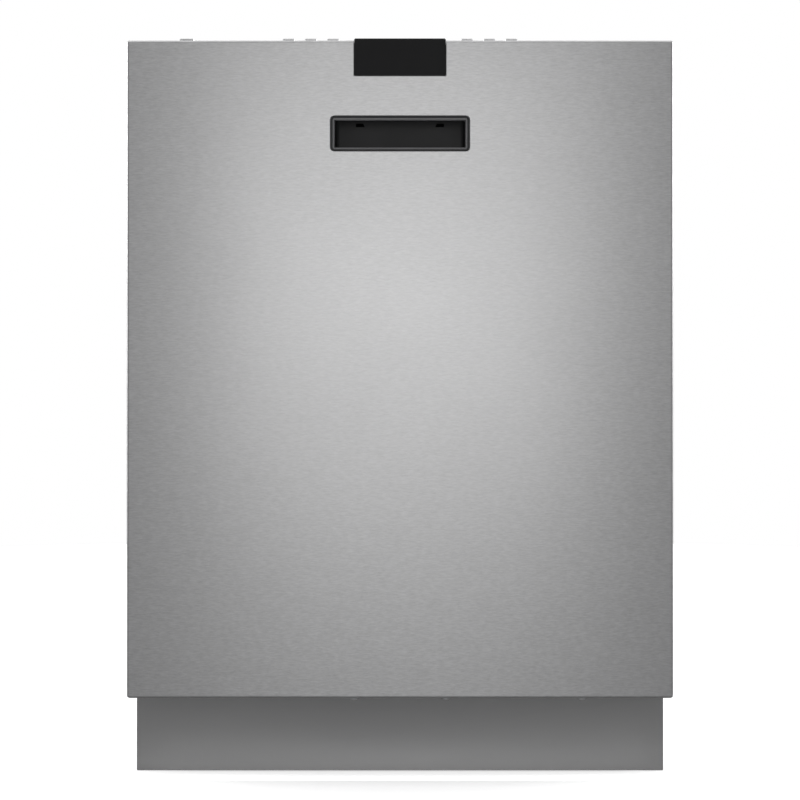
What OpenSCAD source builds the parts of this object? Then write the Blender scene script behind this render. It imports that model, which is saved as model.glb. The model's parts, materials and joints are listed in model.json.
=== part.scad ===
/* [Overall size] */
// Width across the door and the cabinet
overall_w = 596; // [560:1:700]
// Height from the floor to the top of the fixing brackets
overall_h = 819; // [700:1:980]
// Depth from the door's face to the hose connections
overall_d = 570; // [500:1:680]

/* [Door] */
// Height of the door's lower edge above the floor
door_z = 95; // [85:1:120]
// Drop from the fixing brackets to the door's upper edge
door_top_drop = 7; // [6:1:15]
// Thickness of the door, from its face to the inner sheet
door_t = 55; // [52:1:66]
// Thickness of the door's steel sheet
door_sheet = 1; // [0.8:0.1:1.2]
// Depth of the door panel's folded sides
door_fold = 42; // [30:1:44]
// Hinge axis behind the door's face
hinge_in = 15; // [14:1:20]
// Hinge axis above the door's lower edge
hinge_up = 23; // [20:1:30]
// Radius of the hinge pins
hinge_pin_r = 5; // [4:0.5:6]

/* [Handle pocket] */
// Width over the bezel
bezel_w = 151.4; // [120:0.2:180]
// Height over the bezel
bezel_h = 38.5; // [30:0.5:44]
// Drop from the door's upper edge to the top of the bezel
bezel_drop = 82.5; // [76:0.5:110]
// Width of the bezel's ring
bezel_ring = 3.5; // [3:0.5:6]
// Depth of the finger space
pocket_d = 30; // [20:1:31]

/* [Console] */
// Height of the console behind the door panel
console_h = 60; // [50:1:64]
// Width of the display window
window_w = 100; // [60:1:120]
// Height of the display window
window_h = 41; // [30:1:44]
// Height of the window above the door's upper edge
window_proud = 2; // [0:0.5:3]
// Width of a programme button
button_w = 12.5; // [8:0.5:16]
// Width of the power button
power_w = 15; // [12:0.5:20]
// Distance between neighbouring programme buttons
button_pitch = 24.35; // [20:0.05:26]
// Distance from the middle to the first programme button
button_first = 73; // [68:0.5:80]
// Distance from the middle to the power button
power_x = 233; // [200:1:240]
// Button height above the door's upper edge
button_proud = 2.6; // [1:0.1:4]
// Travel of a button
button_travel = 1.5; // [1:0.1:2]

/* [Cabinet] */
// Gap from the tub's side to the cabinet's side
side_gap = 28; // [24:1:34]
// Gap from the tub's back to the hose connections
back_gap = 33; // [28:1:44]
// Gap from the tub's roof to the top of the fixing brackets
roof_gap = 19; // [17:1:30]
// Space for the seal between the door and the tub
seal_gap = 8; // [7:0.5:12]
// Thickness of the tub's steel sheet
tub_sheet = 1.2; // [0.8:0.1:1.5]
// Width of the tub's front flange
tub_flange = 16; // [14:1:20]
// Height of the wheel ledges on the tub's floor
ledge_h = 8; // [6:1:12]
// Thickness of the insulation blanket
blanket_t = 12; // [8:1:14]
// Toe kick set back from the door's face
kick_in = 75; // [65:1:90]
// Height of the toe kick's upper edge
kick_top = 105; // [90:1:106]
// Clearance between the base pan and the floor
pan_z = 20; // [16:1:30]
// Wall of the base pan
pan_wall = 3; // [2:0.5:4]

/* [Feet] */
// Radius of a foot's disc
foot_r = 21; // [16:1:24]
// Radius of a foot's screw
foot_screw_r = 5; // [4:0.5:6]
// Distance from the cabinet's side to a foot's axis
foot_in = 48; // [44:1:60]

/* [Racks] */
// Floor of the lower rack above the tub's lip
lower_rack_up = 37; // [34:1:50]
// Height of the lower rack's wall
lower_rack_h = 125; // [80:1:140]
// Distance from the lower rack's floor to the upper rack's floor
rack_pitch = 257; // [230:1:280]
// Height of the upper rack's wall
upper_rack_h = 118; // [80:1:130]
// Radius of the wires
wire_r = 1.6; // [1.2:0.1:2]
// Radius of the rim wires
rim_r = 2.4; // [2:0.1:3]
// Radius of the rack wheels
wheel_r = 18; // [14:0.5:18]

/* [Wash system] */
// Sweep radius of the lower spray arm
lower_arm_r = 222; // [180:1:225]
// Sweep radius of the upper spray arm
upper_arm_r = 200; // [150:1:215]
// Sweep radius of the top spray arm
top_arm_r = 140; // [100:1:170]
// Outer radius of the filter well
well_r = 62; // [56:1:64]
// Outer radius of the water feed pipe
feed_r = 8; // [7:0.5:10]
// Radius of the inlet valve's threaded spigot
inlet_r = 13.2; // [13.2:0.1:13.4]
// Radius of the drain spigot
drain_r = 9; // [8:0.5:11]

/* [Hidden] */
$fn = 48;

fit = 0.05;           // radial clearance of a shaft in its bearing
seat = 0.3;           // clearance between pieces that sit against each other
seam = 0.1;           // weld seam between two sheets or two wires

hw = overall_w / 2;
front_y = -overall_d / 2;
rear_y = overall_d / 2;
door_top = overall_h - door_top_drop;

// Hinge axis, the door's inner face and the tub's lip, level with the open door
hinge_y = front_y + hinge_in;
hinge_z = door_z + hinge_up;
liner_y = front_y + door_t;
lip_z = hinge_z + liner_y - hinge_y;

// Inside of the tub
tub_hw = hw - side_gap;
tub_front = liner_y + seal_gap;
tub_back = rear_y - back_gap;
tub_floor = lip_z - ledge_h;
tub_roof = overall_h - roof_gap;
hub_y = (tub_front + tub_back) / 2;
flange_hw = tub_hw + tub_flange;
flange_top = tub_roof + 12;
flange_low = lip_z - 22;

// Base pan
pan_hw = tub_hw + tub_sheet;
pan_front = front_y + kick_in + 5;
pan_back = rear_y - 20;
pan_top = tub_floor - tub_sheet;

// Sump opening in the tub's floor
sump_hw = 125;
sump_front = hub_y - 125;
sump_back = hub_y + 125;
well_y = hub_y - 77;
pump_z = pan_z + 72;
feed_z = pump_z + 20;
rim_t = 3;

// Feed pipe behind and above the racks
pipe_y = tub_back - feed_r - 4;
pipe_z = tub_roof - feed_r - 4;
bend_r = 20;

// Racks and rails
lower_z = lip_z + lower_rack_up;
upper_z = lower_z + rack_pitch;
lower_hw = tub_hw - 38;
upper_hw = tub_hw - 26;
rack_front = liner_y + 24;
rack_back = pipe_y - feed_r - rim_r - 1;
upper_back = tub_back - 50;
wheel_x = tub_hw - 24;
wheel_w = 10;
wheel_z = lip_z + wheel_r + seat;
front_wheel_y = liner_y + 132 + wheel_r;
rear_wheel_y = rack_back - 45;
axle_r = 4;
rail_z = upper_z + 28;
rail_half = 10;
rail_t = 1.2;
rail_out = tub_hw - seat;
rail_in = rail_out - 11.7;
slide_in = rail_out - 12.7;
branch_z = upper_z - 18;

// Lower spray arm and its post
arm_z = tub_floor + 20;
arm_t = 12;
post_r = 10;

// Steel frames beside the tub, with the hinge pins
frame_x = hw - 3.2;
frame_t = 1.2;
bracket_x = hw - 10;
bracket_t = 3;
arm_x = bracket_x - seat - 3;
arm_plate = 2.7;
frame_low = pan_z + 10;
frame_back = tub_front + 72;
spring_x = hw - 12.5;
spring_r = 9;
spring_z = door_z - 17;
spring_front = tub_front + 132;
spring_back = spring_front + 130;
lever_y = hinge_y + 30;
lever_z = hinge_z - 20;

// Door
console_z = door_top - console_h;
plate_top = door_top - 1;
plate_t = 2.5;
button_y = front_y + 5;
button_d = 16;
button_xs = [for (side = [-1, 1]) for (i = [0:2])
    side * (button_first + (side < 0 ? 2 - i : i) * button_pitch)];
window_z = door_top + window_proud - window_h;
bezel_top = door_top - bezel_drop;
bezel_z = bezel_top - bezel_h;
grip_rise = 16;
liner_hw = hw - door_sheet - 3;
liner_low = hinge_z - 10;
latch_z = door_top - 27;
latch_d = 28;
latch_y = liner_y - 2.5 - seat - latch_d;
catch_y = latch_y + 7;
catch_z = latch_z + 7;
strike_z = door_top - 7.5;
disp_x = [-60, 120];
disp_z = [door_z + 290, door_z + 455];
disp_d = 30;
cup_x = [-50, 20];
cup_z = [door_z + 305, door_z + 371];
cap_x = 75;
cap_z = door_z + 338;
cap_r = 16;
lid_y = liner_y + 2;
lid_t = 2.4;
lid_lap = 3;

foot_x = hw - foot_in;
foot_front = pan_front + 30;
foot_back = pan_back - 75;

// A block between two limits on each axis
module span(x, y, z) translate([x[0], y[0], z[0]]) cube([x[1] - x[0], y[1] - y[0], z[1] - z[0]]);

// Round rods along each axis
module rod_x(x, y, z, r) translate([x[0], y, z]) rotate([0, 90, 0]) cylinder(r = r, h = x[1] - x[0]);
module rod_y(x, y, z, r) translate([x, y[0], z]) rotate([-90, 0, 0]) cylinder(r = r, h = y[1] - y[0]);
module rod_z(x, y, z, r) translate([x, y, z[0]]) cylinder(r = r, h = z[1] - z[0]);

// The same thing on both sides of the middle
module pair() {
    children();
    mirror([1, 0, 0]) children();
}

// Quarter of a pipe bend that starts at the origin along +X and turns towards +Y
module bend(r, turn_r) translate([0, turn_r, 0]) rotate([0, 0, -90])
    rotate_extrude(angle = 90) translate([turn_r, 0]) circle(r);

// ---------- Cabinet ----------

// Junction box for the house wiring, with its knockout over a hole in the pan
junction_w = 85;
junction_x = foot_x - foot_screw_r - junction_w - 20;
knockout_r = 11.1;
knockout_x = junction_x + 42;
knockout_y = pan_front + pan_wall + 30;
module base_pan() color("dimgray") {
    difference() {
        union() {
            difference() {
                span([-pan_hw, pan_hw], [pan_front, pan_back], [pan_z, pan_top]);
                span([-pan_hw + pan_wall, pan_hw - pan_wall], [pan_front + pan_wall, pan_back - pan_wall],
                    [pan_z + pan_wall, pan_top + 1]);
            }
            for (y = [foot_front, foot_back]) pair()
                rod_z(foot_x, y, [pan_z, pan_z + 40], foot_screw_r + 8);
            pair() span([pan_hw - 1, spring_x + spring_r], [spring_back + seat, spring_back + 6],
                [spring_z - 12, spring_z + 12]);
        }
        for (y = [foot_front, foot_back]) pair()
            rod_z(foot_x, y, [pan_z - 1, pan_z + 41], foot_screw_r + fit);
        // Openings for the connections at the back and the hoses at the side
        rod_y(inlet_x, [pan_back - 10, pan_back + 1], inlet_z, inlet_r + 1);
        rod_y(drain_x, [pan_back - 10, pan_back + 1], drain_z, drain_r + 1);
        rod_x([-pan_hw - 1, -pan_hw + 10], fill_y, inlet_z, hose_r + 1);
        rod_x([-pan_hw - 1, -pan_hw + 10], return_y, return_z, hose_r + 1);
        for (z = screw_zs) pair() rod_x([pan_hw - 10, pan_hw + 1], frame_screw_y, z, 2.2);
        rod_z(knockout_x, knockout_y, [pan_z - 1, pan_z + pan_wall + 1], knockout_r + 3);
    }
}

module foot(x, y) color("darkgray") {
    rod_z(x, y, [0, 8], foot_r);
    rod_z(x, y, [7, pan_z + 75], foot_screw_r);
}
module front_left_foot() foot(-foot_x, foot_front);
module front_right_foot() foot(foot_x, foot_front);
module rear_left_foot() foot(-foot_x, foot_back);
module rear_right_foot() foot(foot_x, foot_back);

kick_y = front_y + kick_in;
kick_t = 1.2;
module toe_kick() color("gray") difference() {
    union() {
        span([-hw, hw], [kick_y, kick_y + kick_t], [0.5, kick_top]);
        span([-pan_hw, pan_hw], [kick_y, pan_front], [kick_top - kick_t, kick_top]);
        span([-pan_hw, pan_hw], [kick_y, pan_front], [pan_z + 2, pan_z + 2 + kick_t]);
    }
    // Notches that the door's spring links pass through
    pair() span([spring_x - 6, spring_x + 8], [kick_y - 1, kick_y + 2], [lever_z - 14, kick_top + 1]);
}

// Sheets of the tub, each welded to the next along a seam
module tub() color("lightgray") {
    t = tub_sheet;
    y0 = tub_front + t + seam;
    pair() span([tub_hw, tub_hw + t], [y0, tub_back - seam], [tub_floor, tub_roof - seam]);
    span([-tub_hw - t, tub_hw + t], [y0, tub_back - seam], [tub_roof, tub_roof + t]);
    span([-tub_hw - t, tub_hw + t], [tub_back, tub_back + t], [tub_floor - t, tub_roof + t]);
    difference() {
        union() {
            pair() span([sump_hw, tub_hw + t], [y0, tub_back - seam], [tub_floor - t, tub_floor - seam]);
            span([-sump_hw + seam, sump_hw - seam], [y0, sump_front], [tub_floor - t, tub_floor - seam]);
            span([-sump_hw + seam, sump_hw - seam], [sump_back, tub_back - seam],
                [tub_floor - t, tub_floor - seam]);
        }
        rod_z(float_x, float_y, [tub_floor - 5, tub_floor + 5], float_stem_r + seat);
        rod_z(0, pipe_y, [tub_floor - 5, tub_floor + 5], feed_r + seat);
    }
    // Ledges that the lower rack's wheels roll on
    pair() span([wheel_x - 6, tub_hw - seam], [y0, tub_back - 1], [tub_floor, lip_z]);
    // Front flange, open at the top for the door's strike
    pair() span([tub_hw, flange_hw], [tub_front, tub_front + t], [flange_low, flange_top]);
    pair() span([strike_hw + 2.5, tub_hw - seam], [tub_front, tub_front + t], [tub_roof, flange_top]);
    span([-tub_hw + seam, tub_hw - seam], [tub_front, tub_front + t], [flange_low, lip_z]);
}

// Seal around the tub's mouth that the door presses on
module tub_seal() color("black") difference() {
    span([-tub_hw - 7, tub_hw + 7], [liner_y + 0.4, tub_front], [lip_z - 13, tub_roof + 3]);
    span([-tub_hw - 1, tub_hw + 1], [liner_y, tub_front + 1], [lip_z - 7, tub_roof - 3]);
}

module insulation_blanket() color("darkslategray") {
    inner = tub_hw + tub_sheet + seat;
    y0 = tub_front + 7;
    back = tub_back + tub_sheet + seat;
    difference() {
        pair() span([inner, inner + blanket_t], [y0, back - seat], [tub_floor + 10, tub_roof - seat]);
        // Channels for the hoses where the gap beside the tub is narrow
        for (y = [fill_y, return_y])
            rod_z(side_hose_x, y, [tub_floor, air_z[0]], hose_r + seat);
    }
    span([-inner - blanket_t, inner + blanket_t], [tub_front + 36, back - seat],
        [tub_roof + tub_sheet + seat, tub_roof + tub_sheet + seat + 10]);
    span([-inner - blanket_t, inner + blanket_t], [back, back + blanket_t],
        [tub_floor + 10, tub_roof + tub_sheet + seat + 10]);
}

frame_screw_y = pan_front + 35;
screw_zs = [frame_low + 20, frame_low + 50];
module side_frames() color("silver") pair() difference() {
    union() {
        // Upright beside the tub, with its front turned in behind the tub's flange
        span([frame_x, frame_x + frame_t], [tub_front + tub_sheet, frame_back], [kick_top + 1, flange_top]);
        span([tub_hw + tub_sheet + seat, frame_x + frame_t],
            [tub_front + tub_sheet, tub_front + 2 * tub_sheet], [kick_top + 1, flange_top]);
        // Foot of the frame, screwed to the base pan
        span([frame_x, frame_x + frame_t], [pan_front, frame_back], [frame_low, kick_top + 2]);
        for (z = [frame_low, kick_top - 6])
            span([pan_hw, frame_x + frame_t], [pan_front, frame_back], [z, z + frame_t]);
        span([pan_hw, pan_hw + frame_t], [pan_front, frame_back], [frame_low, kick_top - 5]);
        // Bracket and pin that carry the door
        span([bracket_x, bracket_x + bracket_t], [hinge_y, frame_back], [hinge_z - 9, hinge_z + 9]);
        rod_x([bracket_x, bracket_x + bracket_t], hinge_y, hinge_z, 9.5);
        rod_x([arm_x - 1, bracket_x + 1], hinge_y, hinge_z, hinge_pin_r);
        span([bracket_x, frame_x + 1], [frame_back - 12, frame_back - 10], [hinge_z - 9, hinge_z + 9]);
    }
    for (z = screw_zs) rod_x([pan_hw - 1, pan_hw + 4], frame_screw_y, z, 2.2);
    spring_link(link_r + 1);
    // Slot that the hinge arm's spring link passes through
    span([arm_x - 4, bracket_x - 0.2], [tub_front, tub_front + 3], [kick_top, hinge_z + 12]);
}

module cabinet_screws() color("gainsboro") {
    for (z = screw_zs) pair() {
        rod_x([pan_hw + frame_t, pan_hw + frame_t + 2], frame_screw_y, z, 4);
        rod_x([pan_hw - 9, pan_hw + frame_t + 1], frame_screw_y, z, 2);
    }
    for (y = [tub_front + 15, tub_front + 26]) {
        rod_z(0, y, [tub_roof + tub_sheet + 2, tub_roof + tub_sheet + 4], 3.5);
    }
}

bracket_hole_r = 2.75;
bracket_hole_x = 180;
bracket_hole_ys = [tub_front + 10, tub_front + 28];
bracket_half = 20;
module top_brackets() color("silver") pair() difference() {
    union() {
        span([bracket_hole_x - bracket_half, bracket_hole_x + bracket_half],
            [tub_front + tub_sheet, tub_front + 2 * tub_sheet],
            [tub_roof + 2, overall_h]);
        span([bracket_hole_x - bracket_half, bracket_hole_x + bracket_half],
            [tub_front + tub_sheet, tub_front + 38],
            [overall_h - 1.2, overall_h]);
    }
    for (y = bracket_hole_ys) rod_z(bracket_hole_x, y, [overall_h - 3, overall_h + 1], bracket_hole_r);
}

strike_hw = 16;
module door_strike() color("silver") {
    base = tub_roof + tub_sheet;
    span([-strike_hw, strike_hw], [tub_front + 2, tub_front + 34], [base, base + 2]);
    span([-strike_hw, strike_hw], [tub_front + 2, tub_front + 4], [base, strike_z + 2]);
    span([-strike_hw, strike_hw], [liner_y - 20, tub_front + 4], [strike_z, strike_z + 2]);
    span([-strike_hw, strike_hw], [liner_y - 20, liner_y - 18], [strike_z - 1, strike_z + 2]);
}

// Springs that balance the door, each with the link that hooks on the hinge arm
link_r = 1.5;
module spring_link(r) {
    dy = spring_front - lever_y;
    dz = spring_z - lever_z;
    translate([spring_x, lever_y + 5.4, lever_z + dz * 5.4 / dy]) rotate([atan2(-dy, dz), 0, 0])
        cylinder(r = r, h = norm([dy - 5, dz]));
}
module door_springs() color("darkgray") pair() {
    rod_y(spring_x, [spring_front, spring_back], spring_z, spring_r);
    spring_link(link_r);
}

// ---------- Wash system ----------

module sump() color("dimgray") difference() {
    union() {
        span([-sump_hw - 5, sump_hw + 5], [sump_front - 5, sump_back + 5], [pan_top - rim_t, pan_top]);
        rod_z(0, well_y, [pan_z + 45, pan_top], well_r);
        rod_z(0, hub_y, [feed_z - 17, tub_floor + 2], 16);
        rod_z(0, hub_y, [tub_floor, arm_z - seat], post_r + 4);
        rod_z(0, hub_y, [tub_floor, arm_z + arm_t - 3], post_r);
        rod_x([0, heater_x - seat], hub_y, feed_z, 10);
        rod_x([0, pump_x - seat], well_y, pump_z, 20);
        rod_x([-drain_pump_x + seat, 0], well_y, pump_z, 14);
    }
    rod_z(0, well_y, [pan_z + 48, pan_top + 1], well_r - 3);
    rod_z(0, hub_y, [feed_z - 14, arm_z + arm_t + 1], 6);
    rod_x([0, heater_x + 1], hub_y, feed_z, 7);
    rod_y(0, [hub_y, hub_y + 17], feed_z, 6);
    rod_x([0, pump_x + 1], well_y, pump_z, 16);
    rod_x([-drain_pump_x - 1, 0], well_y, pump_z, 11);
}

filter_r = 35;
module filter_plate() color("silver") difference() {
    span([-sump_hw + 0.6, sump_hw - 0.6], [sump_front + 0.6, sump_back - 0.6], [pan_top, tub_floor + 0.4]);
    rod_z(0, hub_y, [pan_top - 1, tub_floor + 1], 16 + seat);
    rod_z(0, well_y, [pan_top - 1, tub_floor + 1], filter_r + 1);
}

module micro_filter() color("whitesmoke") difference() {
    union() {
        rod_z(0, well_y, [pan_z + 55, tub_floor + 1], filter_r);
        rod_z(0, well_y, [tub_floor + 0.5, tub_floor + 3], filter_r + 6);
        span([-22, 22], [well_y - 3, well_y + 3], [tub_floor + 2, tub_floor + 13]);
        rod_z(0, well_y, [tub_floor + 2, tub_floor + 9], 9);
    }
    difference() {
        rod_z(0, well_y, [pan_z + 58, tub_floor + 0.5], filter_r - 2);
        span([-23, 23], [well_y - 3, well_y + 3], [tub_floor - 4, tub_floor + 4]);
    }
}

pump_x = 66;
volute_r = 46;
volute_l = 30;
volute_in = 16;
motor_r = 40;
motor_end = pump_x + 140;
pump_shaft_r = 4;
pump_shaft_end = pump_x + 60;
module circulation_pump() color("darkslateblue") difference() {
    union() {
        rod_x([pump_x, pump_x + volute_l], well_y, pump_z, volute_r);
        rod_x([pump_x + volute_l - 1, motor_end], well_y, pump_z, motor_r);
        rod_x([motor_end - 1, motor_end + 8], well_y, pump_z, motor_r - 10);
        rod_y(pump_x + 15, [well_y + 36, hub_y - heater_r - seat], feed_z, 9);
        for (x = [pump_x + 60, pump_x + 110])
            span([x - 8, x + 8], [well_y - 12, well_y + 12], [pan_z + pan_wall, pump_z - motor_r + 2]);
    }
    rod_x([pump_x + 3, pump_x + volute_l - 3], well_y, pump_z, volute_r - 3);
    rod_x([pump_x - 1, pump_x + 4], well_y, pump_z, volute_in);
    rod_x([pump_x + volute_l - 4, pump_shaft_end], well_y, pump_z, pump_shaft_r + fit);
}

impeller_r = 36;
impeller_x = [pump_x + 8, pump_x + 22];
module pump_impeller() color("white") {
    rod_x([pump_x + 14, pump_shaft_end - 2], well_y, pump_z, pump_shaft_r);
    rod_x([impeller_x[1] - 1, impeller_x[1] + 2], well_y, pump_z, impeller_r);
    for (a = [0:60:300]) translate([0, well_y, pump_z]) rotate([a, 0, 0])
        span(impeller_x, [6, impeller_r - 2], [-1, 1]);
    rod_x(impeller_x, well_y, pump_z, 9);
}

heater_x = 40;
heater_r = 22;
heater_l = 125;
heater_cap_l = 8;
module water_heater() color("silver") {
    cap_x1 = heater_x + heater_l + heater_cap_l - 1;
    rod_x([heater_x, heater_x + heater_l], hub_y, feed_z, heater_r);
    rod_x([heater_x + heater_l - 1, cap_x1], hub_y, feed_z, 14);
    for (y = [hub_y - 6, hub_y + 6]) rod_x([cap_x1 - 1, cap_x1 + 8], y, feed_z, 2);
    span([heater_x + 60, heater_x + 72], [hub_y - 10, hub_y + 10], [pan_z + pan_wall, feed_z - heater_r + 2]);
}

drain_pump_x = 70.3;
drain_volute_r = 26;
drain_volute_l = 25;
drain_motor_r = 21;
drain_motor_l = 80;
drain_in = 11;
drain_shaft_r = 2.5;
drain_spout = [well_y + 18, well_y + 42];
drain_x = -(drain_pump_x + 13);
drain_z = pump_z + 12;
module drain_pump() color("dimgray") difference() {
    union() {
        rod_x([-drain_pump_x - drain_volute_l, -drain_pump_x], well_y, pump_z, drain_volute_r);
        rod_x([-drain_pump_x - drain_motor_l, -drain_pump_x - drain_volute_l + 1],
            well_y, pump_z, drain_motor_r);
        rod_y(drain_x, drain_spout, drain_z, 8);
        span([-drain_pump_x - 60, -drain_pump_x - 45], [well_y - 9, well_y + 9],
            [pan_z + pan_wall, pump_z - drain_motor_r + 2]);
    }
    rod_x([-drain_pump_x - drain_volute_l + 3, -drain_pump_x - 3], well_y, pump_z, drain_volute_r - 3);
    rod_x([-drain_pump_x - 4, -drain_pump_x + 1], well_y, pump_z, drain_in);
    rod_x([-drain_pump_x - 45, -drain_pump_x - drain_volute_l + 4], well_y, pump_z, drain_shaft_r + fit);
}

module drain_impeller() color("white") {
    rod_x([-drain_pump_x - 43, -drain_pump_x - 8], well_y, pump_z, drain_shaft_r);
    rod_x([-drain_pump_x - 19, -drain_pump_x - 17], well_y, pump_z, 17);
    for (a = [0:90:270]) translate([0, well_y, pump_z]) rotate([a, 0, 0])
        span([-drain_pump_x - 18, -drain_pump_x - 8], [2, 16], [-1, 1]);
}

hose_r = 6;
module drain_hose() color("gray") difference() {
    union() {
        rod_y(drain_x, [drain_spout[1] + seat, pan_back - 20], drain_z, drain_r + 0.5);
        rod_y(drain_x, [pan_back - 21, rear_y], drain_z, drain_r);
        rod_y(drain_x, [pan_back - 21, pan_back - pan_wall], drain_z, drain_r + 5);
    }
    rod_y(drain_x, [pan_back - 30, rear_y + 1], drain_z, drain_r - 2);
}

inlet_x = -220;
inlet_z = pan_z + 40;
fill_y = pan_back - 25;
module inlet_valve() color("ivory") difference() {
    union() {
        span([inlet_x - 15, inlet_x + 15], [pan_back - 42, pan_back - pan_wall], [inlet_z - 15, inlet_z + 20]);
        rod_z(inlet_x, pan_back - 24, [inlet_z + 19, inlet_z + 48], 13);
        rod_y(inlet_x, [pan_back - 4, rear_y], inlet_z, inlet_r);
        rod_x([inlet_x - 25, inlet_x - 14], fill_y, inlet_z, hose_r);
        span([inlet_x - 15, inlet_x + 15], [pan_back - 40, pan_back - 30], [pan_z + pan_wall, inlet_z - 14]);
    }
    rod_y(inlet_x, [pan_back - 3, rear_y + 1], inlet_z, 9);
}

// Hoses from the valve up to the air break, and from there down to the sump
side_hose_x = -hw + 8;
return_y = well_y + 22;
return_z = pump_z + 33;
module side_hose(y, z, x_end) {
    turn = 10;
    rod_x([side_hose_x + turn, x_end], y, z, hose_r);
    translate([side_hose_x + turn, y, z]) rotate([90, 0, 180]) bend(hose_r, turn);
    rod_z(side_hose_x, y, [z + turn, air_z[0] - seat], hose_r);
}
module fill_hoses() color("darkgray") {
    side_hose(fill_y, inlet_z, inlet_x - 25 - seat);
    side_hose(return_y, return_z,
        -sqrt(pow(well_r, 2) - pow(return_y - hose_r - well_y, 2)) - seat);
}

air_z = [lip_z + 42, lip_z + 362];
module air_break_chamber() color("white") {
    span([-frame_x - 1, -tub_hw - tub_sheet - blanket_t - 2 * seat],
        [return_y - 15, fill_y + 10], air_z);
}

module junction_box() color("silver") {
    z0 = pan_z + pan_wall;
    y0 = pan_front + pan_wall + seat;
    difference() {
        span([junction_x, junction_x + junction_w], [y0, y0 + 60], [z0, z0 + 50]);
        span([junction_x + 1.2, junction_x + junction_w - 1.2], [y0 + 1.2, y0 + 58.8], [z0 + 1.2, z0 + 51]);
        rod_z(knockout_x, knockout_y, [z0 - 1, z0 + 2], knockout_r);
    }
    span([junction_x, junction_x + junction_w], [y0, y0 + 60], [z0 + 50 + seam, z0 + 51.3]);
}

module supply_pipe() color("whitesmoke") difference() {
    union() {
        rod_y(0, [hub_y + 16 + seat, pipe_y - bend_r], feed_z, feed_r);
        translate([0, pipe_y - bend_r, feed_z]) rotate([90, 0, 90]) bend(feed_r, bend_r);
        rod_z(0, pipe_y, [feed_z + bend_r, pipe_z - bend_r], feed_r);
        translate([0, pipe_y, pipe_z - bend_r]) rotate([0, -90, 180]) bend(feed_r, bend_r);
        rod_y(0, [hub_y - 12, pipe_y - bend_r], pipe_z, feed_r);
        rod_z(0, hub_y, [pipe_z - 22, pipe_z], feed_r);
        rod_z(0, hub_y, [pipe_z - 14, pipe_z], feed_r + 4);
        rod_y(0, [upper_back + 22 + seat, pipe_y], branch_z, feed_r + 2);
        for (z = [tub_floor + 150, tub_roof - 120])
            span([-18, 18], [pipe_y + feed_r - 3, tub_back], [z - 6, z + 6]);
    }
    rod_z(0, hub_y, [pipe_z - 23, pipe_z + 2], feed_r - 2.5);
    rod_y(0, [upper_back + 20, pipe_y], branch_z, feed_r - 2);
}

float_x = -175;
float_y = hub_y - 165;
float_stem_r = 4;
module float() color("white") {
    rod_z(float_x, float_y, [tub_floor - 30, tub_floor + 2], float_stem_r);
    rod_z(float_x, float_y, [tub_floor + 0.3, tub_floor + 11], 18);
}

// Flat hollow arm that turns about its hub, with a row of jets on one face
module spray_arm(r, w, t, hub_r, bore_r, bore_z, jets_up) difference() {
    union() {
        translate([-r + w / 2, -w / 2, 0]) cube([2 * r - w, w, t]);
        for (s = [-1, 1]) translate([s * (r - w / 2 - 1), 0, 0]) cylinder(r = w / 2 + 0.6, h = t);
        cylinder(r = hub_r, h = t);
    }
    translate([0, 0, bore_z[0]]) cylinder(r = bore_r, h = bore_z[1] - bore_z[0]);
    for (s = [-1, 1]) for (i = [1:5])
        translate([s * r * (0.1 + 0.165 * i), (i % 2 - 0.5) * w * 0.4, jets_up ? t - 1.5 : -0.5])
            cylinder(r = 1.6, h = 2);
}
lower_arm_turn = 22;
lower_arm_w = 44;
lower_arm_hub_r = 27;
module lower_spray_arm() color("gainsboro") translate([0, hub_y, arm_z]) rotate([0, 0, lower_arm_turn])
    spray_arm(lower_arm_r, lower_arm_w, arm_t, lower_arm_hub_r, post_r + fit, [-1, arm_t - 2.5], true);
top_arm_z = pipe_z - 26;
top_arm_turn = -35;
top_arm_w = 26;
top_arm_t = 11;
top_arm_hub_r = 20;
module top_spray_arm() color("gainsboro") translate([0, hub_y, top_arm_z]) rotate([0, 0, top_arm_turn])
    spray_arm(top_arm_r, top_arm_w, top_arm_t, top_arm_hub_r, feed_r + fit, [3, top_arm_t + 1], false);
upper_arm_z = branch_z - 24;
upper_arm_turn = 60;
upper_arm_w = 36;
upper_arm_hub_r = 22;
module upper_spray_arm() color("gainsboro") translate([0, hub_y, upper_arm_z]) rotate([0, 0, upper_arm_turn])
    spray_arm(upper_arm_r, upper_arm_w, arm_t, upper_arm_hub_r, feed_r + fit, [4, arm_t + 1], true);

// ---------- Racks ----------

module rack_rails() color("silver") pair() {
    span([rail_out - rail_t, rail_out],
        [tub_front + 6, tub_back - 15], [rail_z - rail_half, rail_z + rail_half]);
    for (s = [-1, 1]) span([rail_in, rail_out], [tub_front + 6, tub_back - 15],
        [rail_z + (s > 0 ? rail_half - rail_t : -rail_half), rail_z + (s > 0 ? rail_half : rail_t - rail_half)]);
}

module rail_slides() color("gainsboro") pair()
    span([slide_in, rail_out - rail_t - seat], [tub_front + 8, tub_back - 18],
        [rail_z - rail_half + rail_t + seat, rail_z + rail_half - rail_t - seat]);

// Evenly spaced places between two limits
function steps(lo, hi, n) = [for (i = [0:n - 1]) lo + (hi - lo) * i / (n - 1)];

// Places of the floor wires across a rack of a given half width
function wire_xs(bw) = steps(-bw + wire_in, bw - wire_in, floor_wires);

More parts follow.
